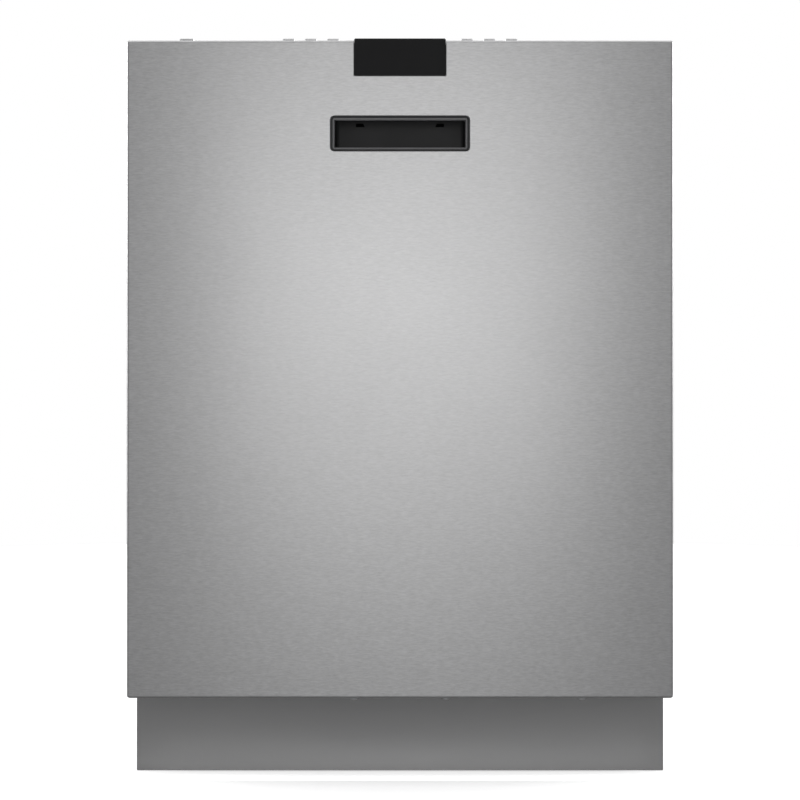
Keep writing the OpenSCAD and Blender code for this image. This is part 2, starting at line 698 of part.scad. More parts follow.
// Basket of straight wires, each a weld seam away from the next
module basket(bw, y0, y1, z0, h, ny) {
    w2 = 2 * wire_r + seam;
    z_cross = z0 - w2;
    x_up = bw - rim_r - wire_r - seam;
    y_lo = y0 + rim_r + wire_r + seam;
    y_hi = y1 - rim_r - wire_r - seam;
    xs = wire_xs(bw);
    ys = steps(y0 + 34, y1 - 34, ny);
    // Floor wires along the depth, with their ends turned up
    for (x = xs) {
        rod_y(x, [y_lo + wire_r + seam, y_hi - wire_r - seam], z0, wire_r);
        for (y = [y_lo, y_hi]) rod_z(x, y, [z0 - wire_r, z0 + h], wire_r);
    }
    // Floor wires across, with their ends turned up
    for (y = ys) {
        rod_x([-x_up + wire_r + seam, x_up - wire_r - seam], y, z_cross, wire_r);
        pair() rod_z(x_up, y, [z_cross - wire_r, z0 + h], wire_r);
    }
    // Rims at the top and half way up
    for (z = [z0 + h - rim_r, z0 + h * rim_share]) {
        for (y = [y0, y1]) rod_x([-bw + rim_r + seam, bw - rim_r - seam], y, z, rim_r);
        pair() rod_y(bw, [y0 - rim_r, y1 + rim_r], z, rim_r);
    }
}

module tines(xs, ys, z0, h) for (x = xs) for (y = ys) rod_z(x, y, [z0 + wire_r + seam, z0 + h], wire_r);

basket_x = [lower_hw - 150, lower_hw - 15];
basket_y = [rack_front + 16, rack_front + 226];
plate_tine_h = 85;
glass_tine_h = 60;
floor_wires = 13;
wire_in = 26;
rim_share = 0.45;
lower_xs = wire_xs(lower_hw);
upper_xs = wire_xs(upper_hw);
module lower_rack() color("lightgray") {
    basket(lower_hw, rack_front, rack_back, lower_z, lower_rack_h, 7);
    tines([for (i = [1:7]) lower_xs[i]], steps(rack_front + 60, rack_back - 60, 6), lower_z, plate_tine_h);
    // Axle blocks hung on the side rims
    for (y = [front_wheel_y, rear_wheel_y]) pair() difference() {
        union() {
            span([lower_hw + rim_r + seam, wheel_x - 1], [y - 9, y + 9],
                [wheel_z - 9, lower_z + lower_rack_h * rim_share + 6]);
            rod_x([wheel_x - 2, wheel_x + wheel_w + 2], y, wheel_z, axle_r);
            rod_x([wheel_x - 2, wheel_x - seat], y, wheel_z, 7);
        }
    }
}

module wheels(y) color("white") pair() difference() {
    rod_x([wheel_x, wheel_x + wheel_w], y, wheel_z, wheel_r);
    rod_x([wheel_x - 1, wheel_x + wheel_w + 1], y, wheel_z, axle_r + fit);
}
module lower_front_wheels() wheels(front_wheel_y);
module lower_rear_wheels() wheels(rear_wheel_y);

// Basket with two rows of pockets, walls and floor a seam apart
cutlery_h = 118;
cutlery_wall = 2;
module cutlery_basket() color("slategray") {
    z0 = lower_z + wire_r + seam;
    h = cutlery_h;
    t = cutlery_wall;
    x = basket_x;
    y = basket_y;
    span(x, y, [z0, z0 + t]);
    for (x0 = [x[0], (x[0] + x[1] - t) / 2, x[1] - t])
        span([x0, x0 + t], [y[0] + t + seam, y[1] - t - seam], [z0 + t + seam, z0 + h]);
    for (y0 = [y[0], y[1] - t]) span(x, [y0, y0 + t], [z0 + t + seam, z0 + h]);
    for (f = [1 / 3, 2 / 3]) for (side = [0, 1])
        span([(side == 0 ? x[0] : (x[0] + x[1]) / 2 - t / 2) + t + seam,
              (side == 0 ? (x[0] + x[1]) / 2 - t / 2 : x[1] - t) - seam],
            [y[0] + f * (y[1] - y[0]) - t / 2, y[0] + f * (y[1] - y[0]) + t / 2], [z0 + t + seam, z0 + h]);
}

module upper_rack() color("lightgray") {
    basket(upper_hw, rack_front - 4, upper_back, upper_z, upper_rack_h, 6);
    tines([for (i = [2, 3, 4, 5, 7, 8, 9, 10]) upper_xs[i]],
        steps(rack_front + 50, upper_back - 50, 6), upper_z, glass_tine_h);
    // Hangers that hook on the slides
    for (y = [rack_front + 70, upper_back - 70]) pair()
        span([upper_hw + rim_r + seam, slide_in - seat], [y - 14, y + 14], [rail_z - 9, rail_z + 40]);
    // Water feed under the rack, with the spray arm's bearing
    difference() {
        union() {
            rod_y(0, [hub_y - 12, upper_back + 22], branch_z, feed_r);
            rod_z(0, hub_y, [upper_arm_z + 4.3, branch_z], feed_r);
            rod_z(0, hub_y, [upper_arm_z + arm_t + seat, branch_z], feed_r + 3);
            for (y = [hub_y + 40, upper_back - 40]) span([-7, 7], [y - 5, y + 5],
                [branch_z, upper_z - 3 * wire_r - 2 * seam]);
        }
        rod_z(0, hub_y, [upper_arm_z + 3, branch_z + 3], feed_r - 2.5);
        rod_y(0, [hub_y, upper_back + 23], branch_z, feed_r - 2.5);
    }
}

// ---------- Door ----------

screw_xs = [-50, 50, 199];
door_screw_y = front_y + 9;
door_screw_r = 1.6;
door_screw_head_r = 4;
module door_panel() color("silver") difference() {
    union() {
        span([-hw, hw], [front_y, front_y + door_sheet], [door_z, door_top]);
        pair() span([hw - door_sheet, hw], [front_y, front_y + door_fold], [door_z, door_top]);
        span([-arm_x + 2, arm_x - 2], [front_y, front_y + door_fold], [door_z, door_z + door_sheet]);
        span([-hw, hw], [front_y, button_y - 0.8], [plate_top, door_top]);
    }
    span([-window_w / 2 - seat, window_w / 2 + seat], [front_y - 1, front_y + 20],
        [window_z - seat, door_top + 1]);
    span([-bezel_w / 2 - seat, bezel_w / 2 + seat], [front_y - 1, front_y + 20],
        [bezel_z - seat, bezel_top + seat]);
    for (x = screw_xs) rod_z(x, door_screw_y, [door_z - 1, door_z + 2], door_screw_r + 0.2);
}

module door_screws() color("gainsboro") for (x = screw_xs) {
    rod_z(x, door_screw_y, [door_z - 2.5, door_z], door_screw_head_r);
    rod_z(x, door_screw_y, [door_z - 1, door_z + 9], door_screw_r);
}

liner_flange = 16;
liner_step = hinge_z + 44;
module door_liner() color("lightgray") difference() {
    union() {
        span([-liner_hw, liner_hw], [liner_y - door_sheet, liner_y], [liner_step, console_z - 1]);
        span([-arm_x + 3, arm_x - 3], [liner_y - door_sheet, liner_y], [liner_low, liner_step + 1]);
        pair() span([liner_hw - door_sheet, liner_hw],
            [liner_y - liner_flange, liner_y], [liner_step, console_z - 1]);
        pair() span([arm_x - 3 - door_sheet, arm_x - 3],
            [liner_y - liner_flange, liner_y], [liner_low, liner_step + 1]);
        span([-arm_x + 3, arm_x - 3], [liner_y - liner_flange, liner_y], [liner_low, liner_low + door_sheet]);
    }
    span([disp_x[0] - 0.5, disp_x[1] + 0.5], [liner_y - 20, liner_y + 1], [disp_z[0] - 0.5, disp_z[1] + 0.5]);
}

module door_insulation() color("dimgray")
    span([-arm_x + 6, arm_x - 6], [front_y + door_sheet + seat, liner_y - disp_d - 2],
        [hinge_z + 8, bezel_z - 6]);

module console() color("dimgray") difference() {
    y0 = front_y + door_sheet + seat;
    x0 = hw - door_sheet - seat;
    union() {
        span([-x0, x0], [y0, liner_y], [plate_top - plate_t, plate_top - 0.1]);
        span([-x0, x0], [y0, y0 + 2], [console_z, plate_top - 1]);
        span([-x0, x0], [liner_y - plate_t, liner_y], [console_z, plate_top - 1]);
        pair() span([x0 - 2, x0], [y0, liner_y], [console_z, plate_top - 1]);
        pair() span([power_x + 25, power_x + 28], [y0, liner_y], [console_z, plate_top - 1]);
    }
    // Seat of the display window
    span([-window_w / 2 - seat, window_w / 2 + seat], [y0 - 1, y0 + 3], [window_z - seat, door_top]);
    span([-window_w / 2 - seat, window_w / 2 + seat], [y0 - 1, front_y + 35 + seat], [plate_top - 4, door_top]);
    // Slot that the strike enters
    span([-strike_hw - 2, strike_hw + 2], [liner_y - 4, liner_y + 1], [strike_z - 4, plate_top - plate_t]);
    for (x = button_xs) button_hole(x, button_w);
    button_hole(-power_x, power_w);
}

module button_hole(x, w) span([x - w / 2 - seat, x + w / 2 + seat],
    [button_y - seat, button_y + button_d + seat], [plate_top - 4, door_top]);

module display_window() color("black") {
    span([-window_w / 2, window_w / 2], [front_y, front_y + 3], [window_z, door_top + window_proud]);
    span([-window_w / 2, window_w / 2], [front_y, front_y + 35],
        [plate_top - 1, door_top + window_proud]);
}

// Cap with a collar under the console's top
module button(x, w) color("silver") {
    span([x - w / 2, x + w / 2], [button_y, button_y + button_d], [board_top + 5.5, door_top + button_proud]);
    span([x - w / 2 - 1, x + w / 2 + 1], [button_y + 0.5, button_y + button_d + 1],
        [plate_top - plate_t - seat - 1.5, plate_top - plate_t - seat]);
}
module power_button() button(-power_x, power_w);
module button_1() button(button_xs[0], button_w);
module button_2() button(button_xs[1], button_w);
module button_3() button(button_xs[2], button_w);
module button_4() button(button_xs[3], button_w);
module button_5() button(button_xs[4], button_w);
module button_6() button(button_xs[5], button_w);

board_top = door_top - 14;
module control_board() color("green") {
    y0 = front_y + door_sheet + seat + 2 + seat;
    span([-power_x - 15, -40], [y0, y0 + 20], [board_top - 1.6, board_top]);
    span([40, button_xs[5] + 15], [y0, y0 + 20], [board_top - 1.6, board_top]);
    span([-41, 41], [y0, y0 + 14], [board_top - 1.6, board_top]);
    for (x = concat([-power_x], button_xs))
        span([x - 3, x + 3], [button_y + 4, button_y + 10], [board_top, board_top + 3.5]);
    span([-36, 36], [front_y + 4, front_y + 14], [board_top, plate_top - 4.5]);
}

module handle_pocket() color("dimgray") difference() {
    x0 = bezel_w / 2;
    in_x = x0 - bezel_ring - 1;
    wall = 2;
    union() {
        span([-x0, x0], [front_y, front_y + 2], [bezel_z, bezel_top]);
        span([-in_x - wall, in_x + wall], [front_y + 1.5, front_y + pocket_d + 3 + wall],
            [bezel_z + bezel_ring - wall, bezel_top - bezel_ring + wall]);
        span([-in_x - wall, in_x + wall], [front_y + 1.5, front_y + pocket_d + 3 + wall],
            [bezel_top - 8, bezel_top + grip_rise + wall]);
    }
    span([-in_x, in_x], [front_y - 1, front_y + pocket_d + 3], [bezel_z + bezel_ring, bezel_top - bezel_ring]);
    span([-in_x, in_x], [front_y + 4, front_y + pocket_d + 3], [bezel_z + bezel_ring, bezel_top + grip_rise]);
    // Drip slots high in the back wall
    pair() span([39, 47], [front_y + pocket_d, front_y + pocket_d + 10], [bezel_top - 8, bezel_top - 5]);
}

// Steel arms in the door that turn on the hinge pins, with a lever for the spring link
arm_w = 12.5;
arm_l = 210;
module hinge_arms() color("silver") pair() difference() {
    union() {
        span([arm_x, arm_x + arm_plate], [hinge_y - arm_w, hinge_y + 8], [hinge_z, hinge_z + arm_l]);
        rod_x([arm_x, arm_x + arm_plate], hinge_y, hinge_z, arm_w);
        translate([arm_x, hinge_y, hinge_z]) rotate([atan2(lever_z - hinge_z, lever_y - hinge_y), 0, 0])
            translate([0, 0, -6]) cube([arm_plate, norm([lever_y - hinge_y, lever_z - hinge_z]), 12]);
        rod_x([arm_x, arm_x + arm_plate], lever_y, lever_z, 5);
        rod_x([arm_x - 4, arm_x + 1], lever_y, lever_z, 2.5);
        span([arm_x - 5, arm_x + 1], [hinge_y - arm_w, hinge_y - arm_w + 1.5], [hinge_z + 20, hinge_z + arm_l]);
    }
    rod_x([arm_x - 5, arm_x + 5], hinge_y, hinge_z, hinge_pin_r + fit);
}

catch_pin_r = 2;
module latch_housing() color("darkgray") difference() {
    span([-30, 30], [latch_y, latch_y + latch_d], [latch_z, plate_top - plate_t - seat]);
    span([-strike_hw - 2, strike_hw + 2], [latch_y + 6, latch_y + latch_d + 1], [strike_z - 3, plate_top]);
    span([-9, 9], [latch_y + 2, latch_y + latch_d + 1], [latch_z + 2, strike_z]);
    rod_x([-20, 20], catch_y, catch_z, catch_pin_r + fit);
}

// Lever with a roller that springs up under the strike
catch_hw = 6;
catch_l = 12;
module latch_catch() color("silver") {
    rod_x([-19, 19], catch_y, catch_z, catch_pin_r);
    rod_x([-catch_hw, catch_hw], catch_y, catch_z, 4);
    span([-catch_hw, catch_hw], [catch_y, catch_y + catch_l], [catch_z - 1.5, catch_z + 1.5]);
    rod_x([-catch_hw, catch_hw], catch_y + catch_l, catch_z + 3, 4);
}

disp_rim = 8;
guide_w = 3;
module dispenser() color("gray") difference() {
    union() {
        span(disp_x, [liner_y - disp_d, liner_y], disp_z);
        span([disp_x[0] - disp_rim, disp_x[1] + disp_rim], [liner_y, lid_y - seat],
            [disp_z[0] - disp_rim, disp_z[1] + disp_rim]);
        for (x = [cup_x[0] - lid_lap - seat - guide_w, cup_x[1] + lid_lap + seat])
            span([x, x + guide_w], [liner_y + 1, lid_y + 3.4], [cup_z[0] - 10, disp_z[1] - 5]);
    }
    span(cup_x, [liner_y - disp_d + 4, lid_y + 1], cup_z);
    rod_y(cap_x, [liner_y - 14, lid_y + 1], cap_z, 8 + fit);
}

module detergent_lid() color("lightgray") {
    span([cup_x[0] - lid_lap, cup_x[1] + lid_lap], [lid_y, lid_y + lid_t], [cup_z[0] - 4, cup_z[1] + 4]);
    span([cup_x[0] + 20, cup_x[1] - 20], [lid_y, lid_y + lid_t + 2.5], [cup_z[0] + 4, cup_z[0] + 9]);
}

module rinse_aid_cap() color("lightsteelblue") {
    rod_y(cap_x, [lid_y, lid_y + 3], cap_z, cap_r);
    rod_y(cap_x, [liner_y - 12, lid_y + 1], cap_z, 8);
    span([cap_x - 2, cap_x + 2], [lid_y + 2, lid_y + 5.5], [cap_z - 12, cap_z + 12]);
}

base_pan();
front_left_foot();
front_right_foot();
rear_left_foot();
rear_right_foot();
toe_kick();
tub();
tub_seal();
insulation_blanket();
side_frames();
top_brackets();
door_springs();
door_strike();
sump();
filter_plate();
micro_filter();
circulation_pump();
pump_impeller();
water_heater();
drain_pump();
drain_impeller();
drain_hose();
inlet_valve();
fill_hoses();
air_break_chamber();
junction_box();
supply_pipe();
float();
lower_spray_arm();
top_spray_arm();
upper_spray_arm();
rack_rails();
rail_slides();
upper_rack();
lower_rack();
lower_front_wheels();
lower_rear_wheels();
cutlery_basket();
cabinet_screws();
door_panel();
door_liner();
door_insulation();
console();
display_window();
handle_pocket();
hinge_arms();
latch_housing();
latch_catch();
control_board();
dispenser();
detergent_lid();
rinse_aid_cap();
door_screws();
power_button();
button_1();
button_2();
button_3();
button_4();
button_5();
button_6();
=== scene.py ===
"""Built in dishwasher: looks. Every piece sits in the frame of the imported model, in metres."""
import json
import math
import bmesh
import bpy
import numpy as np
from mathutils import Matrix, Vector


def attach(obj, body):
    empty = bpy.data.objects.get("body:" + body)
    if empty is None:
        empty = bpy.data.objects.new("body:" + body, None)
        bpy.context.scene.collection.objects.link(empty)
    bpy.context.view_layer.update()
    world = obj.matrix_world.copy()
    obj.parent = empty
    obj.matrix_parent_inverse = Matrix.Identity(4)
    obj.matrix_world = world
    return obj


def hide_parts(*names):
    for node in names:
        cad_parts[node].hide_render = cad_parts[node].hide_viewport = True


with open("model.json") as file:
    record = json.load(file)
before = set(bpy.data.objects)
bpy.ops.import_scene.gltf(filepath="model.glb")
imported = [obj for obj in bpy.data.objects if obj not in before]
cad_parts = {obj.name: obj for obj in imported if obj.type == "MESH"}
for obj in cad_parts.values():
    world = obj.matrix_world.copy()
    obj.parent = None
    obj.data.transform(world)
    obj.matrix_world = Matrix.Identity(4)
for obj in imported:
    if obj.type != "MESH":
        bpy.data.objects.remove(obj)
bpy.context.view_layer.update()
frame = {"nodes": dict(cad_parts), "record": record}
NODES = frame["nodes"]
BODY_OF = {node: body for body, nodes in frame["record"]["behaviour"]["bodies"].items() for node in nodes}
MM = 0.001
TAU = 2 * math.pi
CREASE = 35        # degrees between faces past which a made piece shows an edge
COPY_CREASE = 32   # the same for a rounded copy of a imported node
BEVEL_FROM = 38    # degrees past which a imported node's edge is rounded


# ---------------------------------------------------------------- meshes

def place(name, mesh, node, material, hides=True, fix=True):
    """Put a finished mesh in the scene on the node's body, with its slot. With hides it stands for the node,
    or for several; with fix its doubles are merged and its faces turned outward."""
    nodes = [node] if isinstance(node, str) else list(node)
    if fix:
        edit = bmesh.new()
        edit.from_mesh(mesh)
        bmesh.ops.remove_doubles(edit, verts=edit.verts, dist=2e-6)
        bmesh.ops.recalc_face_normals(edit, faces=edit.faces)
        edit.to_mesh(mesh)
        edit.free()
        mesh.shade_smooth()
        mesh.set_sharp_from_angle(angle=math.radians(CREASE))
    piece = bpy.data.objects.new(name, mesh)
    bpy.context.scene.collection.objects.link(piece)
    mesh.materials.clear()
    mesh.materials.append(material)
    even = piece.modifiers.new("even_shading", "WEIGHTED_NORMAL")
    even.keep_sharp = True
    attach(piece, BODY_OF[nodes[0]])
    if hides:
        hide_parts(*nodes)
    return piece


def mesh_of(name, points, faces):
    """Mesh from points in millimetres and rows of corner numbers."""
    mesh = bpy.data.meshes.new(name)
    rows = (np.asarray(points, float).reshape(-1, 3) * MM).tolist()
    mesh.from_pydata(rows, [], [list(map(int, face)) for face in faces])
    mesh.validate()
    return mesh


def grid_faces(rows, cols, wrap_rows=False, wrap_cols=True, start=0):
    """Quads of a grid of points numbered row by row; a wrapped direction joins its last line to its first."""
    i, j = np.meshgrid(np.arange(rows if wrap_rows else rows - 1), np.arange(cols if wrap_cols else cols - 1),
                       indexing="ij")
    i, j = i.ravel(), j.ravel()
    i2, j2 = (i + 1) % rows, (j + 1) % cols
    return start + np.stack([i * cols + j, i * cols + j2, i2 * cols + j2, i2 * cols + j], 1)


class Shape:
    """Collects grids of points, so that one mesh can hold many lofted, turned or bent shapes."""

    def __init__(self):
        self.points, self.faces, self.count = [], [], 0

    def add(self, grid, wrap_rows=False, wrap_cols=True, caps=True):
        """Add a grid (rows, cols, 3). Open ends of a tube are closed by one face each."""
        grid = np.asarray(grid, float)
        rows, cols = grid.shape[:2]
        self.faces += grid_faces(rows, cols, wrap_rows, wrap_cols, self.count).tolist()
        if caps and wrap_cols and not wrap_rows:
            self.faces.append(list(range(self.count + cols - 1, self.count - 1, -1)))
            last = self.count + (rows - 1) * cols
            self.faces.append(list(range(last, last + cols)))
        self.points.append(grid.reshape(-1, 3))
        self.count += rows * cols
        return self

    def mesh(self, name):
        return mesh_of(name, np.concatenate(self.points), self.faces)


def on_axis(a, b, level, axis):
    """Points from two coordinates across an axis and one along it, in X, Y, Z order of the two across."""
    level = np.broadcast_to(level, np.shape(a))
    order = {"x": (level, a, b), "y": (a, level, b), "z": (a, b, level)}[axis]
    return np.stack(order, -1)


def round_rect(rect, per_corner=8):
    """Rounded rectangle: each corner is a quarter circle of radius r about a centre r inside both sides."""
    a0, a1, b0, b1, r = rect
    r = max(min(r, (a1 - a0) / 2 - 0.001, (b1 - b0) / 2 - 0.001), 0.001)
    turn = np.linspace(0, math.pi / 2, per_corner)
    angle = (turn + (np.arange(4) * math.pi / 2)[:, None]).ravel()
    centre_a = np.repeat([a1 - r, a0 + r, a0 + r, a1 - r], per_corner)
    centre_b = np.repeat([b1 - r, b1 - r, b0 + r, b0 + r], per_corner)
    return centre_a + r * np.cos(angle), centre_b + r * np.sin(angle)


def inset(rect, d):
    """The rectangle drawn in by d on every side, its corner radius shrunk with it."""
    a0, a1, b0, b1, r = rect
    return (a0 + d, a1 - d, b0 + d, b1 - d, max(r - d, 0.3))


def rim(level, rect, r, toward, start, steps=5):
    """Rings of a quarter-round edge that leads from a side wall on to a face at level. toward is the sign of
    the way from the wall to the face; start 'wall' gives the rings in that order, 'face' the other way."""
    t = np.linspace(0, math.pi / 2, steps)
    rings = [(level - toward * r * (1 - math.sin(a)), inset(rect, r * (1 - math.cos(a)))) for a in t]
    return rings if start == "wall" else rings[::-1]


def stack(shape, rings, axis="y", per_corner=8):
    """Loft through rounded rectangles: each ring is (level along the axis, rectangle across it)."""
    grid = [on_axis(*round_rect(rect, per_corner), level, axis) for level, rect in rings]
    return shape.add(np.stack(grid))


def block(shape, lo, hi, r=0.8, axis="z", corner=None, steps=3):
    """Solid block between two corners, with every edge rounded by r and its corners by corner."""
    across = {"x": (1, 2), "y": (0, 2), "z": (0, 1)}[axis]
    along = "xyz".index(axis)
    rect = (lo[across[0]], hi[across[0]], lo[across[1]], hi[across[1]], corner if corner else r * 1.2)
    rings = rim(lo[along], rect, r, -1, "face", steps) + rim(hi[along], rect, r, 1, "wall", steps)
    return stack(shape, rings, axis, 4 if not corner else 8)


def turned(shape, profile, centre, axis="z", sides=32, caps=True):
    """Surface of revolution: each profile point (radius, level) is carried round a circle about the axis."""
    angle = np.arange(sides) * TAU / sides
    radius, level = np.asarray(profile, float).T
    a = radius[:, None] * np.cos(angle)
    b = radius[:, None] * np.sin(angle)
    grid = on_axis(a, b, level[:, None] + np.zeros_like(a), axis)
    return shape.add(grid + np.asarray(centre, float), caps=caps)


def tube(shape, path, normal, r, sides=8, closed=False, flat=1.0):
    """Round wire along a path that lies in a plane with the given normal: each section is the circle
    r cos(a) across the plane and r sin(a) along its normal, carried square to the path's direction."""
    path = np.asarray(path, float)
    ahead = np.roll(path, -1, 0) - np.roll(path, 1, 0)
    if not closed:
        ahead[0], ahead[-1] = path[1] - path[0], path[-1] - path[-2]
    ahead /= np.linalg.norm(ahead, axis=1)[:, None]
    normal = np.asarray(normal, float)
    side = np.cross(ahead, normal)
    side /= np.linalg.norm(side, axis=1)[:, None]
    angle = np.arange(sides) * TAU / sides
    radius = np.asarray(r, float) * np.ones(len(path))
    section = side[:, None, :] * np.cos(angle)[None, :, None] + flat * normal * np.sin(angle)[None, :, None]
    return shape.add(path[:, None, :] + section * radius[:, None, None], wrap_rows=closed, caps=not closed)


def bent(points, r, steps=5):
    """Polyline with each inner corner replaced by an arc of radius r, tangent to both of its sides."""
    points = np.asarray(points, float)
    out = [points[0]]
    for before, here, after in zip(points[:-2], points[1:-1], points[2:]):
        u = (before - here) / np.linalg.norm(before - here)
        v = (after - here) / np.linalg.norm(after - here)
        half = math.acos(np.clip(np.dot(u, v), -1, 1)) / 2
        reach = r / math.tan(half)
        middle = (u + v) / np.linalg.norm(u + v)
        centre = here + middle * r / math.sin(half)
        start = here + u * reach - centre
        stop = here + v * reach - centre
        sweep = math.pi - 2 * half
        for t in np.linspace(0, 1, steps):
            spoke = math.sin((1 - t) * sweep) * start + math.sin(t * sweep) * stop
            out.append(centre + spoke / math.sin(sweep))
    out.append(points[-1])
    return np.array(out)


def plate(name, outlines, level, thickness):
    """Flat sheet in the XZ plane between level and level + thickness along Y. The first outline is its outside
    and the rest are holes."""
    curve = bpy.data.curves.new(name, "CURVE")
    curve.dimensions = "2D"
    curve.fill_mode = "BOTH"
    curve.extrude = thickness / 2
    for a, b in outlines:
        spline = curve.splines.new("POLY")
        spline.points.add(len(a) - 1)
        spline.points.foreach_set("co", np.stack([a, b, 0 * a, 0 * a + 1], 1).ravel())
        spline.use_cyclic_u = True
    holder = bpy.data.objects.new(name, curve)
    bpy.context.scene.collection.objects.link(holder)
    bpy.context.view_layer.update()
    flat = bpy.data.meshes.new_from_object(holder.evaluated_get(bpy.context.evaluated_depsgraph_get()))
    bpy.data.objects.remove(holder)
    co = np.zeros(len(flat.vertices) * 3)
    flat.vertices.foreach_get("co", co)
    co = co.reshape(-1, 3)
    faces = [list(face.vertices) for face in flat.polygons]
    return mesh_of(name, np.stack([co[:, 0], level + thickness / 2 - co[:, 2], co[:, 1]], 1), faces)


def softened(name, width, material, segments=2):
    """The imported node's own surface with its flat facets joined and every sharp edge rounded by width."""
    edit = bmesh.new()
    edit.from_mesh(NODES[name].data)
    edit.transform(NODES[name].matrix_world)
    bmesh.ops.remove_doubles(edit, verts=edit.verts, dist=1e-6)
    bmesh.ops.dissolve_limit(edit, angle_limit=math.radians(0.6), verts=edit.verts, edges=edit.edges)
    limit = math.radians(BEVEL_FROM)
    sharp = [edge for edge in edit.edges if len(edge.link_faces) == 2 and edge.calc_face_angle(0) > limit]
    bmesh.ops.bevel(edit, geom=sharp, offset=width * MM, segments=segments, affect="EDGES",
                    clamp_overlap=True)
    mesh = bpy.data.meshes.new(name + "_look")
    edit.to_mesh(mesh)
    edit.free()
    mesh.shade_smooth()
    mesh.set_sharp_from_angle(angle=math.radians(COPY_CREASE))
    return place(name + "_look", mesh, name, material, fix=False)


# ---------------------------------------------------------------- materials

class Value:
    """A node's output, with Python's arithmetic adding the Math nodes."""

    def __init__(self, finish, output):
        self.finish, self.output = finish, output

    def math(self, operation, other=None, swap=False):
        pair = [self] if other is None else ([other, self] if swap else [self, other])
        return self.finish.node("ShaderNodeMath", {"operation": operation}, dict(enumerate(pair)))

    def __add__(self, other):
        return self.math("ADD", other)

    def __radd__(self, other):
        return self.math("ADD", other)

    def __sub__(self, other):
        return self.math("SUBTRACT", other)

    def __rsub__(self, other):
        return self.math("SUBTRACT", other, True)

    def __mul__(self, other):
        return self.math("MULTIPLY", other)

    def __rmul__(self, other):
        return self.math("MULTIPLY", other)

    def __pow__(self, other):
        return self.math("POWER", other)

    def __gt__(self, other):
        return self.math("GREATER_THAN", other)

    def __lt__(self, other):
        return self.math("LESS_THAN", other)


class Finish:
    """A material with a Principled shader. node() adds any node: its settings first, then its sockets."""

    def __init__(self, name, **constants):
        self.material = bpy.data.materials.new(name)
        self.material.use_nodes = True
        self.tree = self.material.node_tree
        self.shader = self.tree.nodes["Principled BSDF"]
        self.coordinates = self.tree.nodes.new("ShaderNodeTexCoord")
        for key, value in constants.items():
            self.shader.inputs[key.replace("_", " ")].default_value = value

    def node(self, kind, settings=None, sockets=None, output=0):
        made = self.tree.nodes.new(kind)
        for key, value in (settings or {}).items():
            setattr(made, key, value)
        for key, value in (sockets or {}).items():
            if isinstance(value, Value):
                self.tree.links.new(value.output, made.inputs[key])
            else:
                made.inputs[key].default_value = value
        return Value(self, made.outputs[output])

    def position(self, scale=(1, 1, 1)):
        """Object coordinates, stretched by a Mapping node."""
        place_in = Value(self, self.coordinates.outputs["Object"])
        return self.node("ShaderNodeMapping", sockets={"Vector": place_in, "Scale": scale})

    def noise(self, scale, detail=3, stretch=(1, 1, 1), roughness=0.55):
        """Cloud of soft spots, drawn out along an axis whose stretch is under 1."""
        return self.node("ShaderNodeTexNoise", sockets={
            "Vector": self.position(stretch), "Scale": scale, "Detail": detail, "Roughness": roughness})

    def cells(self, scale, stretch, feature):
        """Random cells; the feature says what is measured in them."""
        return self.node("ShaderNodeTexVoronoi", {"feature": feature},
                         {"Vector": self.position(stretch), "Scale": scale})

    def mix(self, factor, low, high):
        """Mix of two colours."""
        return self.node("ShaderNodeMix", {"data_type": "RGBA"}, {
            0: factor, 6: low if isinstance(low, Value) else (*low, 1),
            7: high if isinstance(high, Value) else (*high, 1)}, 2)

    def set(self, socket, value):
        """Join a value to a socket of the main shader."""
        self.tree.links.new(value.output, self.shader.inputs[socket])
        return self

    def bump(self, height, strength, distance):
        """Height, in metres at full strength, as relief."""
        self.set("Normal", self.node("ShaderNodeBump", {}, {
            "Height": height, "Strength": strength, "Distance": distance}))
        return self


def grey(level, tint=0.0):
    """A grey with a slight cold tint."""
    return (level * (1 - tint), level, level * (1 + tint))


def brushed_steel(name, tone=0.60, rough=0.34, grain=1.0, anisotropy=0.7, turn=0.25, across="x"):
    """Brushed sheet: short fine scratches along one axis in colour, roughness and height, over a faint cloud."""
    finish = Finish(name, Metallic=1.0, Anisotropic=anisotropy, Anisotropic_Rotation=turn)
    long_way = {"x": (0.055, 1, 1), "y": (1, 0.055, 1), "z": (1, 1, 0.055)}[across]
    scratch = finish.noise(2200, 3, long_way, 0.7)
    hair = finish.noise(5200, 2, long_way, 0.6)
    fleck = finish.noise(620, 3, tuple(0.22 if s < 1 else 1 for s in long_way), 0.7)
    cloud = finish.noise(5, 3)
    streak = scratch * 0.4 + hair * 0.1 + fleck * 0.5
    shade = (streak - 0.5) * (1.3 * grain) + (cloud - 0.5) * 0.05 + 0.5
    finish.set("Base Color", finish.mix(shade, grey(tone * 0.62), grey(min(tone * 1.38, 1))))
    finish.set("Roughness", (streak - 0.5) * (0.22 * grain) + (cloud - 0.5) * 0.05 + rough)
    return finish.bump(streak, 0.10 * grain, 0.0004).material


def bright_sheet(name, tone=0.66, rough=0.22):
    """Smooth stainless sheet with faint drawing marks, water bloom and a little orange peel."""
    finish = Finish(name, Metallic=1.0)
    bloom = finish.noise(14, 4)
    marks = finish.noise(900, 2, (1, 1, 0.04))
    finish.set("Base Color", finish.mix(bloom, grey(tone * 0.88), grey(tone * 1.06, 0.01)))
    finish.set("Roughness", bloom * 0.12 + marks * 0.08 + (rough - 0.10))
    return finish.bump(marks * 0.4 + bloom * 0.6, 0.12, 0.0006).material


